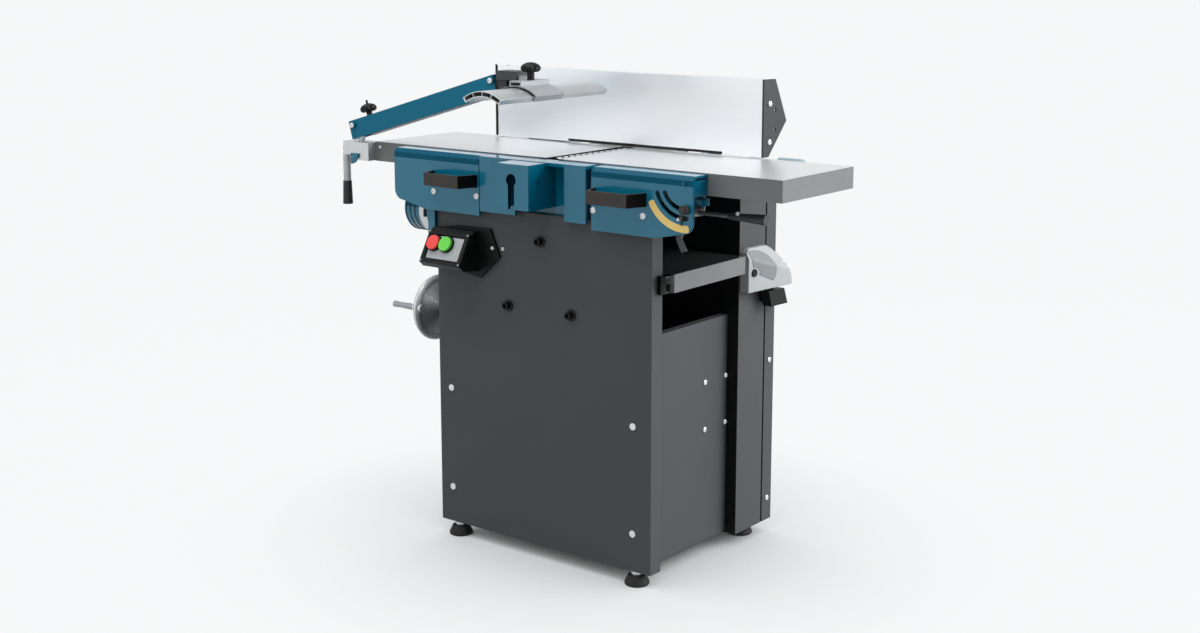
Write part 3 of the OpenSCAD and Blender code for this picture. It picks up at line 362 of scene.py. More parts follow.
def wheel_metal():
    """Turned face of the handwheel, near white, with painted reflection: dark fan-shaped sectors
    round its hub stand with the light face for the turned face's highlights and shade.
    """
    f = drawn_metal(
        "turned_wheel", "#fafbfb", "#eff1f2", roughness=0.28, lines=(60, 60, 60), metallic=0.15
    )
    hub = joint_place("handwheel_turn")
    angle = f.math("ARCTAN2", f.axis("Z") - hub.z, f.axis("Y") - hub.y)
    pairs, first_at = 2, 0.9
    painted_reflection_fans = f.math("SINE", angle * pairs + first_at)
    # The outer face, which looks to the left, is a plain darker grey.
    f.partly(f.looking("X") < -0.2, "#a9adb0")
    inner_face = f.looking("X") > 0.25
    # Painted reflection: the dark sectors lie on the inner face.
    return f.partly(inner_face * f.ramp(painted_reflection_fans, low=-0.6, high=0.9), "#7f8386")


def box_between(f, low, high):
    """Whether a place lies between two corners."""
    inside = None
    for name, a, b in zip("XYZ", low, high):
        here = f.axis(name)
        between = (here > a) * (here < b)
        inside = between if inside is None else inside * between
    return inside


def blue_paint(name, gloss=1.0, band=None):
    """Glossy blue paint with painted shade: a darker blue without clear coat on faces that slope
    or look to the right, and above a band.
    """
    f = paint(name, *BLUE, roughness=0.34, grain=260, depth=0.03, radius=2 * MM, shine=0.1)
    rising = f.looking("Z")
    below_level = rising < 0.9
    shaded_faces = (f.looking("X") > 0.6) + (rising > 0.1) * below_level
    if band:
        shaded_faces = shaded_faces + (f.axis("Z") > band) * below_level
    shaded_faces = f.clamp(shaded_faces)
    # Painted shade on the sloping and right-facing faces and above the band.
    f.partly(shaded_faces, SHADE_AND_PIVOT_BLUE)
    return f.set(coat_weight=(1 - shaded_faces) * gloss)


def head_paint():
    """Blue paint of the head, with painted shade: black inside the keyhole, and a darker blue
    without clear coat on the low ledge.
    """
    f = blue_paint("head_paint")
    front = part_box("front_head_casting")[0].y
    low, high = (
        (at_x(x), front + y, z) for x, y, z in zip(KEYHOLE_X, KEYHOLE_Y, KEYHOLE_Z)
    )
    # Painted shade: black inside the keyhole.
    f.partly(box_between(f, low, high), KEYHOLE_SHADE_BLACK)
    # Painted shade: darker blue and no clear coat on the low ledge.
    ledge = (f.looking("Z") > 0.5) * (f.axis("Z") < table_top - LEDGE_DROP)
    f.partly(ledge, LEDGE_SHADE_BLUE)
    return f.set(coat_weight=f.fed("Coat Weight") * (1 - ledge))


def handle_paint():
    """Painted strip of a handle, with painted shade: black on its right end."""
    f = paint(
        "handle_strip", "#484542", "#575350", roughness=0.42, grain=600, depth=0.05, shine=0.1
    )
    return f.partly(f.looking("X") > 0.15, HANDLE_END_SHADE_BLACK)


def gripped(f, grip, colour, metal, roughness, rougher):
    """Gives a metal bar a moulded grip."""
    f.partly(grip, colour)
    skin = f.uneven(roughness, scale=60, detail=2, spread=0.1)
    return f.set(metallic=metal - grip * metal, roughness=skin + grip * rougher)


def sleeve_metal():
    """Bright tube of the clamp lever with a black sleeve on its lower end."""
    f = drawn_metal("clamp_lever_metal", "#dcdee0", "#cbced0", roughness=0.28, lines=(50, 50, 4))
    return gripped(
        f, f.axis("Z") < SLEEVE_TOP, "#161718", metal=0.85, roughness=0.27, rougher=0.25
    )


def lock_lever_metal():
    """Flat steel bar of the lock lever with a dark moulded grip."""
    f = drawn_metal("lock_lever_metal", "#7b7e80", "#66696b", roughness=0.35, lines=(4, 50, 50))
    return gripped(
        f, f.axis("X") > at_x(LOCK_GRIP_X), "#37393a", metal=0.6, roughness=0.35, rougher=0.14
    )


def depth_lever_metal():
    """Dark steel of the depth lever, with its pivot end painted like the apron."""
    f = drawn_metal(
        "depth_lever_metal", "#3f4142", "#343637", roughness=0.42, lines=(40, 40, 6), metallic=0.2
    )
    return f.partly(f.axis("Z") > DEPTH_PIVOT_Z, SHADE_AND_PIVOT_BLUE)


# Front of the drive cover, its lip and seam, which are painted black as painted shade in the seam
cover_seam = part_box("drive_cover")[0].y + COVER_LIP

grey_coat = cabinet_paint("grey_powder_coat")
blue_coat = blue_paint("blue_paint")
arm_coat = blue_paint("arm_paint", gloss=0.15)
apron_coat = blue_paint("apron_paint", band=table_top - APRON_BAND)
# Painted shade on the aprons above the band under their upper edge
rail_coat = paint("rail_paint", "#8fa5b0", "#a3b6bf", roughness=0.4, grain=300, depth=0.03)
head_coat = head_paint()
black_coat = paint(
    "black_paint", "#0c0d0d", "#1a1b1c", roughness=0.4, grain=500, depth=0.05, shine=0.15
)
plate_coat = paint(
    "dark_grey_paint", "#333638", "#414446", roughness=0.45, grain=600, depth=0.04, shine=0.3
)
strip_coat = handle_paint()
# Painted shade: black on the drive case's faces that look to the front, and on the side panels'
# faces that look into the machine.
case_coat = cabinet_paint("drive_case_paint", lambda f: f.looking("Y") < -LOOKING)
right_coat = cabinet_paint("right_side_paint", lambda f: f.looking("X") < -LOOKING)
left_coat = cabinet_paint("left_side_paint", lambda f: f.looking("X") > LOOKING)
# Painted shade: black on the cover's lip and the seam in front of it.
cover_coat = cabinet_paint("drive_cover_paint", lambda f: f.axis("Y") < cover_seam)
casting = cast_iron("grey_casting")
planed = table_iron()
bed_finish = planed_iron("planed_bed", bed_hi.z, metal=1.0, polish=0.42)
extrusion = drawn_metal(
    "satin_extrusion", "#eceef0", "#e9ebed", roughness=0.34, lines=(0.6, 40, 40), metallic=0.9
)
guard_alloy = drawn_metal(
    "guard_extrusion", "#d3d6d8", "#c6cacc", roughness=0.34, lines=(60, 2, 60), metallic=0.8
)
carriage_alloy = drawn_metal(
    "carriage_alloy", "#a4a8ab", "#989c9f", roughness=0.4, lines=(60, 2, 60), metallic=0.4
)
link_steel = drawn_metal(
    "link_steel", "#d0d4d6", "#c0c4c7", roughness=0.4, lines=(4, 40, 40), metallic=0.1
)
steel = drawn_metal("turned_steel", "#b4b7ba", "#9da1a4", roughness=0.3, lines=(50, 2, 50))
depth_finish = depth_lever_metal()
# Painted shade: the cutter body is near black and without reflection, standing for the shade in
# the cutter's slot.
cutter_shade_black = drawn_metal(
    "cutter_body", "#131415", "#0c0d0d", roughness=0.8, lines=(40, 6, 40), metallic=0.0
).shine(0.0)
dull_steel = drawn_metal(
    "dull_steel", "#b0b3b5", "#9ea1a3", roughness=0.4, lines=(6, 40, 40), metallic=0.3
)
plate_metal = drawn_metal(
    "switch_plate_metal", "#b6babc", "#abafb1", roughness=0.5, lines=(2, 30, 30), metallic=0.2
)
bright_steel = drawn_metal(
    "bright_steel", "#f6f7f8", "#e9ebec", roughness=0.22, lines=(30, 30, 30), metallic=0.35
)
# Pale ground carbide, painted pure white as a painted highlight for the glint along the row of
# inserts.
carbide_glint_white = drawn_metal(
    "ground_carbide", "#ffffff", "#f4f5f6", roughness=0.3, lines=(90, 20, 90), metallic=0.0
)
bronze = drawn_metal("turned_bronze", "#b58d4a", "#9a7436", roughness=0.3, lines=(50, 50, 4))
wheel_finish = wheel_metal()
clamp_finish = sleeve_metal()
lock_finish = lock_lever_metal()
black_plastic = moulded("black_moulding", "#0c0d0e", "#1c1d1f", roughness=0.36, shine=0.2)
grey_plastic = moulded("grey_moulding", "#3e4042", "#4c4f51", roughness=0.45, shine=0.3)
brown_plastic = moulded("brown_moulding", "#37342f", "#47423d", roughness=0.45, shine=0.3)
light_plastic = moulded(
    "light_moulding", "#a9adb0", "#b9bdc0", roughness=0.4, grain=700, radius=2 * MM
)
# Painted shade for the fan round the feed lever's hub
fan_shade_plastic = moulded(
    "shaded_moulding", "#7d8285", "#8d9295", roughness=0.42, grain=700, radius=2 * MM
)
red_plastic = moulded("red_button", "#ff3b30", "#ff6a5e", roughness=0.3, grain=500)
green_plastic = moulded("green_button", "#62e23f", "#93f077", roughness=0.3, grain=500)
white_plastic = moulded("white_mark", "#eceeee", "#ffffff", roughness=0.4, grain=500)
gloss_black = moulded("gloss_black", "#040405", "#0d0e0f", roughness=0.22, shine=0.22)
rubber = moulded("black_rubber", "#0d0d0d", "#1d1d1d", roughness=0.7, grain=600)

FINISHES = {
    grey_coat: ["front_panel", "base_pan"],
    left_coat: ["left_side_panel"],
    right_coat: ["right_side_panel"],
    case_coat: ["drive_case"],
    cover_coat: ["drive_cover"],
    blue_coat: ["dust_hood", "dust_port", "outfeed_hinge_arms"],
    apron_coat: ["outfeed_apron", "infeed_apron"],
    arm_coat: ["guard_arm"],
    rail_coat: ["fence_rail", "infeed_hinge_arms"],
    head_coat: ["front_head_casting"],
    casting: [
        "rear_head_plate", "feed_gearbox", "motor", "guide_column", "cutter_pulley",
        "motor_pulley", "fence_carriage",
    ],
    planed: ["outfeed_table", "infeed_table"],
    bed_finish: ["thicknesser_table"],
    extrusion: ["fence_plate"],
    link_steel: ["guard_link"],
    guard_alloy: ["guard_profile", "guard_clamp_block"],
    carriage_alloy: ["guard_carriage"],
    steel: [
        "cutter_bearings", "hinge_pin", "infeed_roller", "outfeed_roller", "elevating_screw",
        "handwheel_shaft",
    ],
    depth_finish: ["depth_lever"],
    cutter_shade_black: ["cutterhead"],
    dull_steel: ["crank_grip"],
    bright_steel: ["panel_screws"],
    wheel_finish: ["handwheel"],
    clamp_finish: ["clamp_lever"],
    lock_finish: ["table_lock_lever"],
    carbide_glint_white: ["cutter_inserts"],
    bronze: ["elevating_nut"],
    black_coat: ["switch_bracket"],
    strip_coat: ["outfeed_handle", "infeed_handle"],
    plate_coat: ["fence_end_plates"],
    grey_plastic: ["guard_head"],
    black_plastic: ["switch_box", "guard_knob", "arm_knob", "feed_lever"],
    brown_plastic: ["depth_knob"],
    light_plastic: ["feed_lever_cover"],
    red_plastic: ["stop_button"],
    green_plastic: ["start_button"],
    rubber: ["drive_belt", "feet"],
}
for finish, names in FINISHES.items():
    for name in names:
        slots = nodes[name].data.materials
        slots.clear()
        slots.append(finish.material)


# Modelling

SQUARE_ON = 0.9
SAME_PLACE = 1e-6
ON_AXIS = 0.1 * MM
SHARP_ANGLE = math.radians(35)


def clear_selection():
    if bpy.context.object and bpy.context.object.mode != "OBJECT":
        bpy.ops.object.mode_set(mode="OBJECT")
    bpy.ops.object.select_all(action="DESELECT")


def begin(name, primitive, **shape):
    """Adds a primitive and opens it for editing."""
    clear_selection()
    primitive(**shape)
    piece = bpy.context.object
    piece.name = piece.data.name = name
    bpy.ops.object.mode_set(mode="EDIT")
    return piece


def pick(piece, wanted, kind="faces"):
    """Selects only the faces, or edges, that the test wants."""
    bpy.ops.mesh.select_mode(type="FACE" if kind == "faces" else "EDGE")
    bpy.ops.mesh.select_all(action="DESELECT")
    mesh = bmesh.from_edit_mesh(piece.data)
    for item in getattr(mesh, kind):
        if wanted(item):
            item.select_set(True)
    mesh.select_flush_mode()
    bmesh.update_edit_mesh(piece.data)


def inset(piece, wanted, thickness, depth=0.0, **options):
    """Draws the wanted faces in from their edges, and raises or sinks them."""
    pick(piece, wanted)
    bpy.ops.mesh.inset(thickness=thickness, depth=depth, **options)


def draw_out(piece, wanted, way):
    pick(piece, wanted)
    bpy.ops.mesh.extrude_region_move(TRANSFORM_OT_translate={"value": way})


def reshape(piece, matrix):
    """Moves the whole open mesh by a matrix and leaves it selected."""
    mesh = bmesh.from_edit_mesh(piece.data)
    mesh.transform(matrix)
    bmesh.update_edit_mesh(piece.data)
    bpy.ops.mesh.select_all(action="SELECT")


def facing_up(face):
    return face.normal.z > SQUARE_ON


def facing_down(face):
    return face.normal.z < -SQUARE_ON


def facing_rear(face):
    return face.normal.y > SQUARE_ON


def centred(face):
    """Whether an upper face lies on the Z axis."""
    return facing_up(face) and face.calc_center_median().xy.length < ON_AXIS


def upright(edge):
    return abs(edge.verts[0].co.z - edge.verts[1].co.z) > SQUARE_ON * edge.calc_length()


def apply_modifier(piece, kind, **settings):
    modifier = piece.modifiers.new(kind.lower(), kind)
    for key, value in settings.items():
        setattr(modifier, key, value)
    bpy.ops.object.modifier_apply(modifier=modifier.name)


def lay_on(piece, node, offset, thickness, side, **axis):
    """Projects an open sheet on a node of the frame, thickens it and opens it again."""
    bpy.ops.object.mode_set(mode="OBJECT")
    apply_modifier(
        piece, "SHRINKWRAP", target=nodes[node], wrap_method="PROJECT",
        use_negative_direction=True, use_positive_direction=False, offset=offset, **axis,
    )
    apply_modifier(piece, "SOLIDIFY", thickness=thickness, offset=side)
    bpy.ops.object.mode_set(mode="EDIT")


def end(piece, finish, rounding=0.0, segments=2):
    """Closes the edit, rounds the edges and puts the piece's place into its mesh."""
    bpy.ops.mesh.select_all(action="SELECT")
    bpy.ops.mesh.remove_doubles(threshold=SAME_PLACE)
    bpy.ops.mesh.normals_make_consistent(inside=False)
    bpy.ops.object.mode_set(mode="OBJECT")
    if rounding:
        apply_modifier(
            piece, "BEVEL", width=rounding, segments=segments, limit_method="ANGLE",
            angle_limit=SHARP_ANGLE,
        )
    bpy.ops.object.transform_apply(location=True, rotation=True, scale=True)
    bpy.ops.object.shade_smooth_by_angle(angle=SHARP_ANGLE)
    piece.data.materials.clear()
    piece.data.materials.append(finish.material)
    return piece


def leaning(place, out, along):
    """Stands what was drawn upright at the origin on a face that looks out."""
    side = out.cross(along)
    return Matrix.Translation(place) @ Matrix((along, side, out)).transposed().to_4x4()


def stand(piece, body, place, out=UP, along=TO_RIGHT):
    """Puts a finished piece on its place, to ride on a body."""
    piece.data.transform(leaning(place, out, along))
    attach(piece, body)


def copies(pattern, name, places, out, body):
    """Copies of one small piece, each standing on its place, joined and riding on a body."""
    turn = UP.rotation_difference(out).to_matrix().to_4x4()
    clear_selection()
    for place in places:
        copy = pattern.copy()
        copy.data = pattern.data.copy()
        copy.data.transform(Matrix.Translation(place) @ turn)
        bpy.context.scene.collection.objects.link(copy)
        copy.select_set(True)
        bpy.context.view_layer.objects.active = copy
    if len(places) > 1:
        bpy.ops.object.join()
    group = bpy.context.object
    group.name = group.data.name = name
    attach(group, body)


def drop(pattern):
    """Removes a pattern once its copies stand."""
    bpy.data.objects.remove(pattern)


def disc(name, radius, height, sides=24):
    """A round plate that lies on the origin, open for editing."""
    return begin(
        name, bpy.ops.mesh.primitive_cylinder_add,
        vertices=sides, radius=radius, depth=height, location=(0, 0, height / 2),
    )


def slab(name, width, depth, height):
    """A flat plate that lies on the origin, open for editing."""
    piece = begin(name, bpy.ops.mesh.primitive_cube_add, size=1, location=(0, 0, 0.5))
    bpy.ops.transform.resize(value=(width, depth, height), center_override=(0, 0, 0))
    return piece


def arc_plate(name, inner, outer, thick, start, stop, steps):
    """A flat curved plate round the Z axis, spun from its section and open for editing."""
    piece = begin(name, bpy.ops.mesh.primitive_plane_add, size=1)
    section = (
        Matrix.Translation(((inner + outer) / 2, 0, thick / 2))
        @ Matrix.Rotation(math.pi / 2, 4, "X")
        @ Matrix.Diagonal((outer - inner, thick, 1, 1))
    )
    reshape(piece, Matrix.Rotation(start, 4, "Z") @ section)
    bpy.ops.mesh.spin(steps=steps, angle=stop - start, center=(0, 0, 0), axis=(0, 0, -1))
    return piece


def ring(name, inner, outer, height, finish, rounding):
    """A closed ring round the Z axis."""
    whole_turn = arc_plate(name, inner, outer, height, start=0, stop=2 * math.pi, steps=56)
    return end(whole_turn, finish, rounding)


def screw_head(name, radius, height, finish):
    """A domed screw head with a round socket, standing at the origin."""
    piece = disc(name, radius, height)
    inset(piece, facing_up, thickness=radius * 0.18, depth=radius * 0.16)
    inset(piece, centred, thickness=radius * 0.34, depth=radius * 0.08)
    inset(piece, centred, thickness=radius * 0.03, depth=-height * 0.7)
    return end(piece, finish)


# Screws and bolts

apron_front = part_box("infeed_apron")[0].y
panel_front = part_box("front_panel")[0].y
cover_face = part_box("drive_cover")[1].x
fence_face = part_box("fence_end_plates")[1].x
arm_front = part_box("guard_arm")[0].y
bracket_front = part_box("switch_bracket")[0].y

# Pairs are X and Z on faces that look to the front, Y and Z on those that look to the right.
APRON_SCREW_Z = 746
APRON_SCREW_X = {"outfeed": (-278, -159), "infeed": (144, 263)}
SIDE_PANEL_X = 245
SIDE_PANEL_SCREWS = [(62, 372), (62, 272), (137, 372), (137, 272)]
COVER_SCREWS = [(262, 385), (262, 79)]
FENCE_END_SCREWS = [(133.5, 940), (133.5, 864)]
BRACKET_SCREW = (-126, 641)
BRACKET_PANEL_SCREW = (-103, 641)
TABLE_STOP_SCREW = (-481, 820)
PANEL_BOLTS = [(-4, 667), (-90, 526), (74, 527)]


def on_front(points, y):
    """Places on a face that looks to the front, from their X and Z."""
    return [Vector((at_x(x), y, z * MM)) for x, z in points]


def on_side(points, x):
    """Places on a face that looks to the right, from their Y and Z."""
    return [Vector((x, at_y(y), z * MM)) for y, z in points]


apron_screw = screw_head("apron_screw", 6.2 * MM, 3 * MM, bright_steel)
for side, xs in APRON_SCREW_X.items():
    places = on_front([(x, APRON_SCREW_Z) for x in xs], apron_front)
    copies(apron_screw, f"{side}_apron_screws", places, TO_FRONT, side)
drop(apron_screw)

panel_screw = screw_head("panel_screw", 5.6 * MM, 2.6 * MM, bright_steel)
places = on_side(SIDE_PANEL_SCREWS, at_x(SIDE_PANEL_X))
copies(panel_screw, "side_panel_screws", places, TO_RIGHT, "frame")
copies(panel_screw, "cover_screws", on_side(COVER_SCREWS, cover_face), TO_RIGHT, "frame")
places = on_side(FENCE_END_SCREWS, fence_face)
copies(panel_screw, "fence_end_screws", places, TO_RIGHT, "fence")
for name in ("guard_arm_swing", "guard_head_level"):
    place = joint_place(name)
    place.y = arm_front
    copies(panel_screw, f"{name}_screw", [place], TO_FRONT, "arm")
drop(panel_screw)

small_screw = screw_head("small_screw", 3.6 * MM, 3 * MM, bright_steel)
for name, point, face, body in (
    ("bracket_screw", BRACKET_SCREW, bracket_front, "frame"),
    ("bracket_panel_screw", BRACKET_PANEL_SCREW, panel_front, "frame"),
    ("table_stop_screw", TABLE_STOP_SCREW, table_lo.y, "outfeed"),
):
    copies(small_screw, name, on_front([point], face), TO_FRONT, body)
drop(small_screw)


def panel_bolt():
    """Black flanged bolt with a socket, which stands out from the front panel."""
    piece = disc("panel_bolt", radius=12.2 * MM, height=2.4 * MM, sides=32)
    head_height = 10.5 * MM
    inset(piece, facing_up, thickness=4.2 * MM)
    draw_out(piece, centred, (0, 0, head_height))
    inset(piece, centred, thickness=3.4 * MM)
    inset(piece, centred, thickness=0.2 * MM, depth=-6 * MM)
    return end(piece, gloss_black, rounding=0.7 * MM)


bolt = panel_bolt()
copies(bolt, "panel_bolts", on_front(PANEL_BOLTS, panel_front), TO_FRONT, "frame")
drop(bolt)


def foot_nut():
    """Bright lock nut on the stem of a foot."""
    piece = disc("foot_nut", radius=12.5 * MM, height=6.5 * MM, sides=6)
    inset(piece, facing_up, thickness=1.2 * MM, depth=0.4 * MM)
    return end(piece, bright_steel, rounding=0.7 * MM)


feet_lo, feet_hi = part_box("feet")
FOOT_RADIUS = 25 * MM
FOOT_BELL_TOP = 21 * MM
nut = foot_nut()
foot_places = [
    Vector((x, y, FOOT_BELL_TOP))
    for x in (feet_lo.x + FOOT_RADIUS, feet_hi.x - FOOT_RADIUS)
    for y in (feet_lo.y + FOOT_RADIUS, feet_hi.y - FOOT_RADIUS)
]
copies(nut, "foot_nuts", foot_places, UP, "frame")
drop(nut)

# Depth scale on the right apron

SCALE_CENTRE = spot(356, 0, 814)
SCALE_RADIUS = 84 * MM
SCALE_BAND = 14 * MM
SCALE_THICK = 1.4 * MM
SCALE_FROM, SCALE_TO = math.radians(206), math.radians(278)
SCALE_STEP = math.radians(4)
SCALE_LINE = math.radians(0.22)


def depth_scale():
    """Curved yellow plate with round ends, under the depth lever's pointer."""
    piece = arc_plate(
        "depth_scale", SCALE_RADIUS - SCALE_BAND / 2, SCALE_RADIUS + SCALE_BAND / 2,
        SCALE_THICK, SCALE_FROM, SCALE_TO, steps=30,
    )
    ends = [Vector((math.cos(a), math.sin(a))) * SCALE_RADIUS for a in (SCALE_FROM, SCALE_TO)]
    corner_reach, corner_radius = SCALE_BAND * 0.55, SCALE_BAND * 0.36
    pick(piece, lambda e: upright(e) and any(
        (e.verts[0].co.xy - p).length < corner_reach for p in ends
    ), "edges")
    bpy.ops.mesh.bevel(offset=corner_radius, segments=5)
    return piece


def scale_print():
    """Yellow enamel with thin dark graduations that point to the pivot."""
    f = Finish("scale_print")
    x = f.axis("X") - SCALE_CENTRE.x
    z = f.axis("Z") - SCALE_CENTRE.z
    within = f.math("PINGPONG", f.math("ARCTAN2", z, x), SCALE_STEP / 2)
    radius = f.math("SQRT", x * x + z * z)
    line = (within < SCALE_LINE) * (radius < SCALE_RADIUS - 1 * MM)
    cloud_share, ink_share = 0.3, 0.3
    cloud = f.noise(scale=60, detail=3) * cloud_share
    enamel = f.blend(cloud, tone("#ffdf88"), tone("#fbcf6c"))
    skin = f.noise(scale=600, detail=2)
    return f.set(
        base_color=f.blend(line * ink_share, enamel, tone("#6b5526")),
        roughness=f.uneven(0.38, scale=90, detail=2, spread=0.12),
        normal=f.bump(skin, strength=0.04, distance=0.5 * MM, normal=f.rounded(0.6 * MM)),
    )


scale = end(depth_scale(), scale_print(), rounding=0.4 * MM, segments=1)
stand(scale, "infeed", Vector((SCALE_CENTRE.x, apron_front, SCALE_CENTRE.z)), TO_FRONT)

# Switch face

FACE_OUT = -joint_axis("stop_press")
FACE_UP = FACE_OUT.cross(TO_RIGHT)
FACE_MIDDLE = spot(-223.5, -201.5, 634)
FACE_WIDE, FACE_HIGH, FACE_THICK = 113 * MM, 73 * MM, 5 * MM
FACE_RIM = 8.5 * MM
PLATE_LEVEL = 1.4 * MM
COLLAR_LEVEL = 1 * MM


def switch_frame():
    """Raised rim of the switch face, with a sunk field for the plate."""
    piece = slab("switch_frame", FACE_WIDE, FACE_HIGH, FACE_THICK)
    inset(piece, facing_up, thickness=FACE_RIM)
    inset(piece, centred, thickness=1.2 * MM, depth=-3.5 * MM)
    return end(piece, black_plastic, rounding=1.2 * MM)


def switch_plate():
    """Bright plate behind the buttons, with round corners and a raised field."""
    piece = slab("switch_plate", width=88 * MM, depth=50 * MM, height=0.9 * MM)
    pick(piece, upright, "edges")
    bpy.ops.mesh.bevel(offset=3 * MM, segments=4)
    inset(piece, facing_up, thickness=1.5 * MM, depth=0.4 * MM)
    return end(piece, plate_metal)


stand(switch_frame(), "frame", FACE_MIDDLE, FACE_OUT)
stand(switch_plate(), "frame", FACE_MIDDLE + FACE_OUT * PLATE_LEVEL, FACE_OUT)

collar = ring("button_collar", 15.9 * MM, 18.2 * MM, 6.5 * MM, black_plastic, 0.8 * MM)
button_places = []
for name in ("stop_button", "start_button"):
    low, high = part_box(name)
    middle = (low + high) / 2
    above_face = (middle - FACE_MIDDLE).dot(FACE_OUT)
    button_places.append(middle - FACE_OUT * (above_face - COLLAR_LEVEL))
copies(collar, "button_collars", button_places, FACE_OUT, "frame")
drop(collar)

corner_screw = screw_head("corner_screw", 2.2 * MM, 1.2 * MM, steel)
corner_x = TO_RIGHT * (FACE_WIDE - FACE_RIM) / 2
corner_y = FACE_UP * (FACE_HIGH - FACE_RIM) / 2
corner_places = [
    FACE_MIDDLE + FACE_OUT * FACE_THICK + corner_x * side + corner_y * level
    for side in (-1, 1) for level in (-1, 1)
]
copies(corner_screw, "switch_screws", corner_places, FACE_OUT, "frame")
drop(corner_screw)

# Dust spigot

port_lo, port_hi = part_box("dust_port")
SPIGOT_END = Vector((port_lo.x, (port_lo.y + port_hi.y) / 2, (port_lo.z + port_hi.z) / 2))
SPIGOT_R = 50 * MM
SPIGOT_SEAT = SPIGOT_R - 0.1 * MM
RIB_STEPS = (1.5, 14, 27)
BAND_FROM, BAND_WIDE = 43 * MM, 27 * MM
BAND_SLOT = Vector((BAND_FROM + 19 * MM, -SPIGOT_R - 1 * MM, -4 * MM))

rib = ring("spigot_rib", SPIGOT_SEAT, SPIGOT_R + 1.6 * MM, 3 * MM, blue_coat, 0.8 * MM)
rib_places = [SPIGOT_END + TO_RIGHT * step * MM for step in RIB_STEPS]
copies(rib, "spigot_ribs", rib_places, TO_RIGHT, "frame")
drop(rib)
band = ring("spigot_band", SPIGOT_SEAT, SPIGOT_R + 1.8 * MM, BAND_WIDE, guard_alloy, 0.6 * MM)
stand(band, "frame", SPIGOT_END + TO_RIGHT * BAND_FROM, TO_RIGHT, TO_REAR)


def band_slot():
    """Black worm housing on the spigot's band."""
    piece = slab("band_slot", width=6 * MM, depth=17 * MM, height=4 * MM)
    inset(piece, facing_up, thickness=1.5 * MM, depth=-1.2 * MM)
    return end(piece, black_plastic, rounding=0.5 * MM)


stand(band_slot(), "frame", SPIGOT_END + BAND_SLOT, TO_FRONT)

# Guard, fence and levers

CLAMP_PLATE_X, CLAMP_PLATE_Z = -549, 804.5 * MM
# Place of the black strip that paints the shadow in the fence's notch
FENCE_SHADOW_X, FENCE_SHADOW_Z = 46.5, 834 * MM
FENCE_SHADOW_IN = 7 * MM
CLAMP_STEM = 11 * MM
KNOB_REACH = 13.5 * MM
LINK_EDGE_ALONG, LINK_EDGE_UNDER = 210 * MM, 11.7 * MM
ANGLE_PLACE = spot(357, -122, 768.5)
LOCK_SCREW_PLACE = spot(402, -64, 750.5)
MARK_X, MARK_Z = 345, 747.5 * MM


def clamp_plate():
    """Blue quarter plate beside the clamp lever."""
    piece = disc("clamp_plate", radius=24 * MM, height=4 * MM, sides=48)
    for away in (-TO_RIGHT, TO_REAR):
        bpy.ops.mesh.select_all(action="SELECT")
        bpy.ops.mesh.bisect(
            plane_co=(0, 0, 0), plane_no=away, use_fill=True, clear_outer=True
        )
    return end(piece, blue_coat, rounding=0.8 * MM)


block_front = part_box("guard_clamp_block")[0].y
plate_place = Vector((at_x(CLAMP_PLATE_X), block_front, CLAMP_PLATE_Z))
stand(clamp_plate(), "outfeed", plate_place, TO_FRONT)


def fence_seal():
    """Black strip behind the notch along the fence's lower edge, as painted shadow in the notch.
    """
    piece = slab("fence_seal", width=399 * MM, depth=3 * MM, height=7.5 * MM)
    inset(piece, facing_up, thickness=0.8 * MM, depth=0.8 * MM)
    return end(piece, rubber, rounding=0.4 * MM)


plate_lo, plate_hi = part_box("fence_plate")
fence_shadow_place = Vector((at_x(FENCE_SHADOW_X), plate_lo.y + FENCE_SHADOW_IN, FENCE_SHADOW_Z))
stand(fence_seal(), "fence", fence_shadow_place)


def fence_edge_trim():
    """Black edging up the fence's left end, with a short return along its top."""
    height = plate_hi.z - plate_lo.z
    return_height, return_length = 3 * MM, 46 * MM
    piece = slab("fence_edge_trim", 4.6 * MM, 2 * MM, height)
    draw_out(piece, facing_up, (0, 0, return_height))
    draw_out(
        piece, lambda f: facing_rear(f) and f.calc_center_median().z > height,
        (0, return_length, 0),
    )
    return end(piece, black_plastic, rounding=0.5 * MM)


end_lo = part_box("fence_end_plates")[0]
stand(fence_edge_trim(), "fence", Vector((end_lo.x + 2 * MM, end_lo.y - 1 * MM, plate_lo.z)))


def clamp_tube():
    """Bright tube round the stem of the clamp lever."""
    piece = disc("clamp_tube", radius=8.3 * MM, height=61 * MM, sides=32)
    inset(piece, facing_up, thickness=1.4 * MM, depth=0.8 * MM)
    return end(piece, link_steel, rounding=0.6 * MM)


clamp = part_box("clamp_lever")[0]
stand(clamp_tube(), "clamp", Vector((clamp.x + CLAMP_STEM, clamp.y + CLAMP_STEM, SLEEVE_TOP)))


def knob_stud():
    """Threaded end that stands out of the arm's knob."""
    piece = disc("arm_knob_stud", radius=2.4 * MM, height=7 * MM, sides=16)
    inset(piece, facing_up, thickness=0.7 * MM, depth=0.7 * MM)
    return end(piece, black_plastic, rounding=0.2 * MM)


knob_lo, knob_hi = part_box("arm_knob")
knob_axis = joint_axis("arm_knob_turn")
stud_place = (knob_lo + knob_hi) / 2 + knob_axis * KNOB_REACH
stand(knob_stud(), "arm_clamp", stud_place, knob_axis, knob_axis.orthogonal().normalized())


def link_edge():
    """Lower edge of the guard's link, which shows under the arm."""
    piece = slab("guard_link_edge", width=340 * MM, depth=6 * MM, height=8 * MM)
    inset(
        piece, lambda f: abs(f.normal.y) > SQUARE_ON, thickness=1.2 * MM, depth=0.6 * MM,
        use_individual=True,
    )
    return end(piece, link_steel, rounding=0.5 * MM)


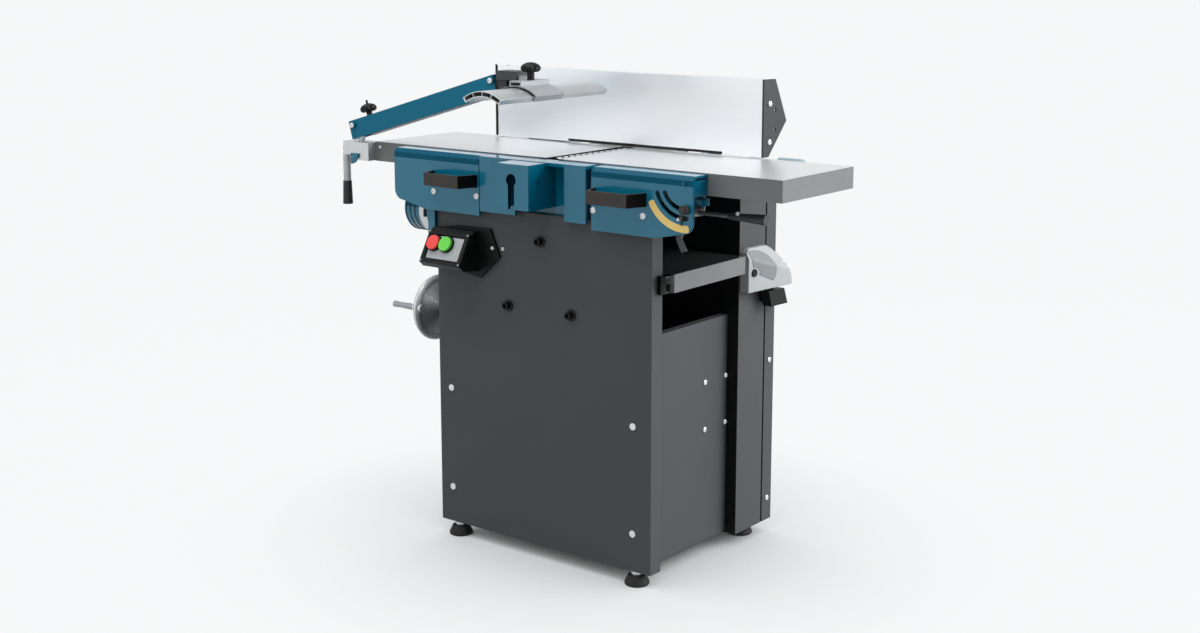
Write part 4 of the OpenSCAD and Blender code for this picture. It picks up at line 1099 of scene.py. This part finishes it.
arm_way = (joint_place("guard_head_level") - joint_place("guard_arm_swing")).normalized()
over_arm = arm_way.cross(TO_REAR)
link_place = (
    joint_place("guard_link_swing") + arm_way * LINK_EDGE_ALONG - over_arm * LINK_EDGE_UNDER
)
stand(link_edge(), "link", link_place, over_arm, arm_way)


def carriage_seal():
    """Black strip laid over the arch of the guard at the carriage's front, as painted shadow in
    the gap between carriage and arch.
    """
    arch_lo, arch_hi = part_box("guard_profile")
    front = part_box("guard_carriage")[0].y
    width, depth, in_front, above = 95 * MM, 3 * MM, 1.6 * MM, 20 * MM
    piece = begin("carriage_seal", bpy.ops.mesh.primitive_plane_add, size=1)
    bpy.ops.mesh.subdivide(number_cuts=23)
    middle = Vector(((arch_lo.x + arch_hi.x) / 2, front - in_front, arch_hi.z + above))
    reshape(piece, Matrix.Translation(middle) @ Matrix.Diagonal((width, depth, 1, 1)))
    lay_on(
        piece, "guard_profile", offset=0.6 * MM, thickness=2.4 * MM, side=1, use_project_z=True
    )
    return end(piece, black_plastic)


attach(carriage_seal(), "head")


def angle_bracket():
    """Small blue angle under the right end of the infeed apron."""
    piece = slab("apron_angle", width=31 * MM, depth=14 * MM, height=15 * MM)
    inset(piece, facing_rear, thickness=3 * MM, depth=-10 * MM)
    return end(piece, blue_coat, rounding=0.8 * MM)


stand(angle_bracket(), "infeed", ANGLE_PLACE)
lever_screw = screw_head("lock_lever_screw", 3.8 * MM, 3 * MM, bright_steel)
stand(lever_screw, "table_lock", LOCK_SCREW_PLACE, TO_FRONT)


def pointer_mark():
    """White arrow on the depth lever, above the scale."""
    piece = disc("pointer_mark", radius=4.5 * MM, height=1.2 * MM, sides=3)
    inset(piece, facing_up, thickness=0.6 * MM, depth=0.3 * MM)
    return end(piece, white_plastic, rounding=0.3 * MM)


lever_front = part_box("depth_lever")[0].y
stand(pointer_mark(), "depth_arm", Vector((at_x(MARK_X), lever_front, MARK_Z)), TO_FRONT)


def crank_nut():
    """Dark nut on the inner side of the handwheel that holds the crank."""
    piece = disc("crank_nut", radius=8.5 * MM, height=6 * MM, sides=6)
    inset(piece, facing_up, thickness=3 * MM, depth=2.5 * MM)
    return end(piece, black_plastic, rounding=0.8 * MM)


crank = joint_place("crank_grip_spin")
crank.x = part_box("crank_grip")[1].x
stand(crank_nut(), "wheel", crank, TO_RIGHT, TO_REAR)

POINTER_WIDE, POINTER_DEEP, POINTER_HIGH = 19 * MM, 29 * MM, 16 * MM
POINTER_FOOT = 21 * MM
POINTER_GAP = 0.2 * MM


def bed_pointer():
    """Black carrier with a foot, on the front edge of the thicknesser table."""
    piece = slab("bed_pointer", POINTER_WIDE, POINTER_DEEP, POINTER_HIGH)
    pick(piece, facing_down)
    bpy.ops.mesh.subdivide(number_cuts=1)
    draw_out(
        piece, lambda f: facing_down(f) and f.calc_center_median().x < 0, (0, 0, -POINTER_FOOT)
    )
    return end(piece, gloss_black, rounding=1.2 * MM)


pointer_place = Vector((
    bed_hi.x - POINTER_WIDE / 2,
    bed_lo.y - POINTER_DEEP / 2 - POINTER_GAP,
    bed_hi.z - POINTER_HIGH,
))
stand(bed_pointer(), "thick_table", pointer_place)

# Feed lever cover


def cover_fan():
    """Darker sheet round the hub of the feed lever, laid on the cover's sloping side, as painted
    shade of a dished fan.
    """
    inner, outer, start, stop = 11 * MM, 45.5 * MM, math.radians(-30), math.radians(100)
    widening, clear_of_cover = 1.5, 10 * MM
    piece = begin("feed_cover_fan", bpy.ops.mesh.primitive_plane_add, size=1)
    line = Matrix.Rotation(start, 4, "Z") @ Matrix.Translation(((inner + outer) / 2, 0, 0))
    reshape(piece, line @ Matrix.Diagonal((outer - inner, 0, 1, 1)))
    bpy.ops.mesh.remove_doubles(threshold=SAME_PLACE)
    bpy.ops.mesh.delete(type="ONLY_FACE")
    bpy.ops.mesh.select_all(action="SELECT")
    bpy.ops.mesh.subdivide(number_cuts=7)
    bpy.ops.mesh.select_all(action="SELECT")
    bpy.ops.mesh.spin(steps=32, angle=stop - start, center=(0, 0, 0), axis=(0, 0, -1))
    hub = joint_place("feed_lever_turn")
    hub.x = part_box("feed_lever_cover")[1].x + clear_of_cover
    wide = Matrix.Diagonal((widening, 1, 1, 1))
    reshape(piece, leaning(hub, TO_RIGHT, TO_REAR) @ wide)
    lay_on(
        piece, "feed_lever_cover", offset=0.2 * MM, thickness=1.2 * MM, side=0,
        use_project_x=True,
    )
    return end(piece, fan_shade_plastic)


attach(cover_fan(), "frame")

# Studio

WHITE = 0.95
AMBIENT = 0.5
CEILING = 0.6
SKY = (0.97, 0.98, 1, 1)
FLOOR_SIZE = 400
FLOOR_GREY = (0.32, 0.325, 0.33, 1)
FLOOR_GLOW = (0.96, 0.97, 0.975, 1)
SHADOW_REACH = 0.6

LENS = 49.04
SENSOR_WIDTH = 36
LENS_SHIFT = -0.045
EYE = (2.09875, -2.61318, 1.22174)
EYE_DOWN, EYE_TURN = math.radians(10.5356), math.radians(38.0371)

# Name, place, aim, size and power
SOFTBOXES = (
    ("overhead", (-0.3, -0.6, 3.2), (0, 0, 0.6), (3.0, 2.4), 60),
    ("front_left", (-2.4, -2.8, 2.0), (0, 0, 0.6), (1.8, 2.2), 12),
    ("right_rear", (2.9, 1.5, 1.9), (0.2, 0, 0.5), (2.2, 2.2), 120),
)


def studio_floor():
    """A wide pale floor that shows white to the camera and keeps the machine's shadow: near the
    machine an ambient-occlusion mask, a painted contact shade, swaps the glow for the darker lit
    floor with the lamps' shadow.
    """
    clear_selection()
    bpy.ops.mesh.primitive_plane_add(size=FLOOR_SIZE, location=(0, 0, 0))
    floor = bpy.context.object
    floor.name = "studio_floor"
    f = Finish("pale_floor")
    f.set(base_color=FLOOR_GREY, roughness=0.7)
    seen = f.rays("Is Camera Ray", "Is Glossy Ray", "Is Transmission Ray")
    # Painted contact shade: the glow fades where the machine is near.
    ao_contact_shade = f.node("ShaderNodeAmbientOcclusion", {"samples": 8}, {"Distance": SHADOW_REACH}, "AO")
    glow = f.node("ShaderNodeEmission", {}, {"Color": FLOOR_GLOW, "Strength": 1.0})
    mixed = f.node(
        "ShaderNodeMixShader", {},
        {0: seen * ao_contact_shade * WHITE, 1: Value(f, f.shader.outputs[0]), 2: glow},
    )
    f.feed(f.tree.nodes["Material Output"].inputs["Surface"], mixed)
    floor.data.materials.append(f.material)


def studio_world():
    """White to the camera, bright at the horizon and dim overhead in reflections."""
    world = bpy.data.worlds.new("studio")
    bpy.context.scene.world = world
    t = Shading(world)
    shown = t.rays("Is Camera Ray", "Is Transmission Ray")
    mirrored = t.rays("Is Glossy Ray")
    overhead = t.ramp(t.axis("Z"), low=0.15, high=0.75)
    added = WHITE - AMBIENT
    strength = shown * added + mirrored * (added - overhead * CEILING) + AMBIENT
    back = t.tree.nodes["Background"]
    back.inputs["Color"].default_value = SKY
    t.feed(back.inputs["Strength"], strength)


def softbox(name, place, aim, size, power):
    lamp = bpy.data.lights.new(name, "AREA")
    lamp.shape = "RECTANGLE"
    lamp.size, lamp.size_y = size
    lamp.energy = power
    box = bpy.data.objects.new(name, lamp)
    bpy.context.scene.collection.objects.link(box)
    box.location = place
    box.rotation_euler = (Vector(aim) - Vector(place)).to_track_quat("-Z", "Y").to_euler()


def camera():
    """The photograph's view, from the front right and a little above the tables."""
    data = bpy.data.cameras.new("camera")
    data.sensor_width = SENSOR_WIDTH
    data.lens = LENS
    data.shift_y = LENS_SHIFT
    eye = bpy.data.objects.new("camera", data)
    bpy.context.scene.collection.objects.link(eye)
    eye.location = EYE
    eye.rotation_euler = (math.pi / 2 - EYE_DOWN, 0, EYE_TURN)
    bpy.context.scene.camera = eye


studio_floor()
studio_world()
for box in SOFTBOXES:
    softbox(*box)
camera()
bpy.context.scene.view_settings.view_transform = "Standard"
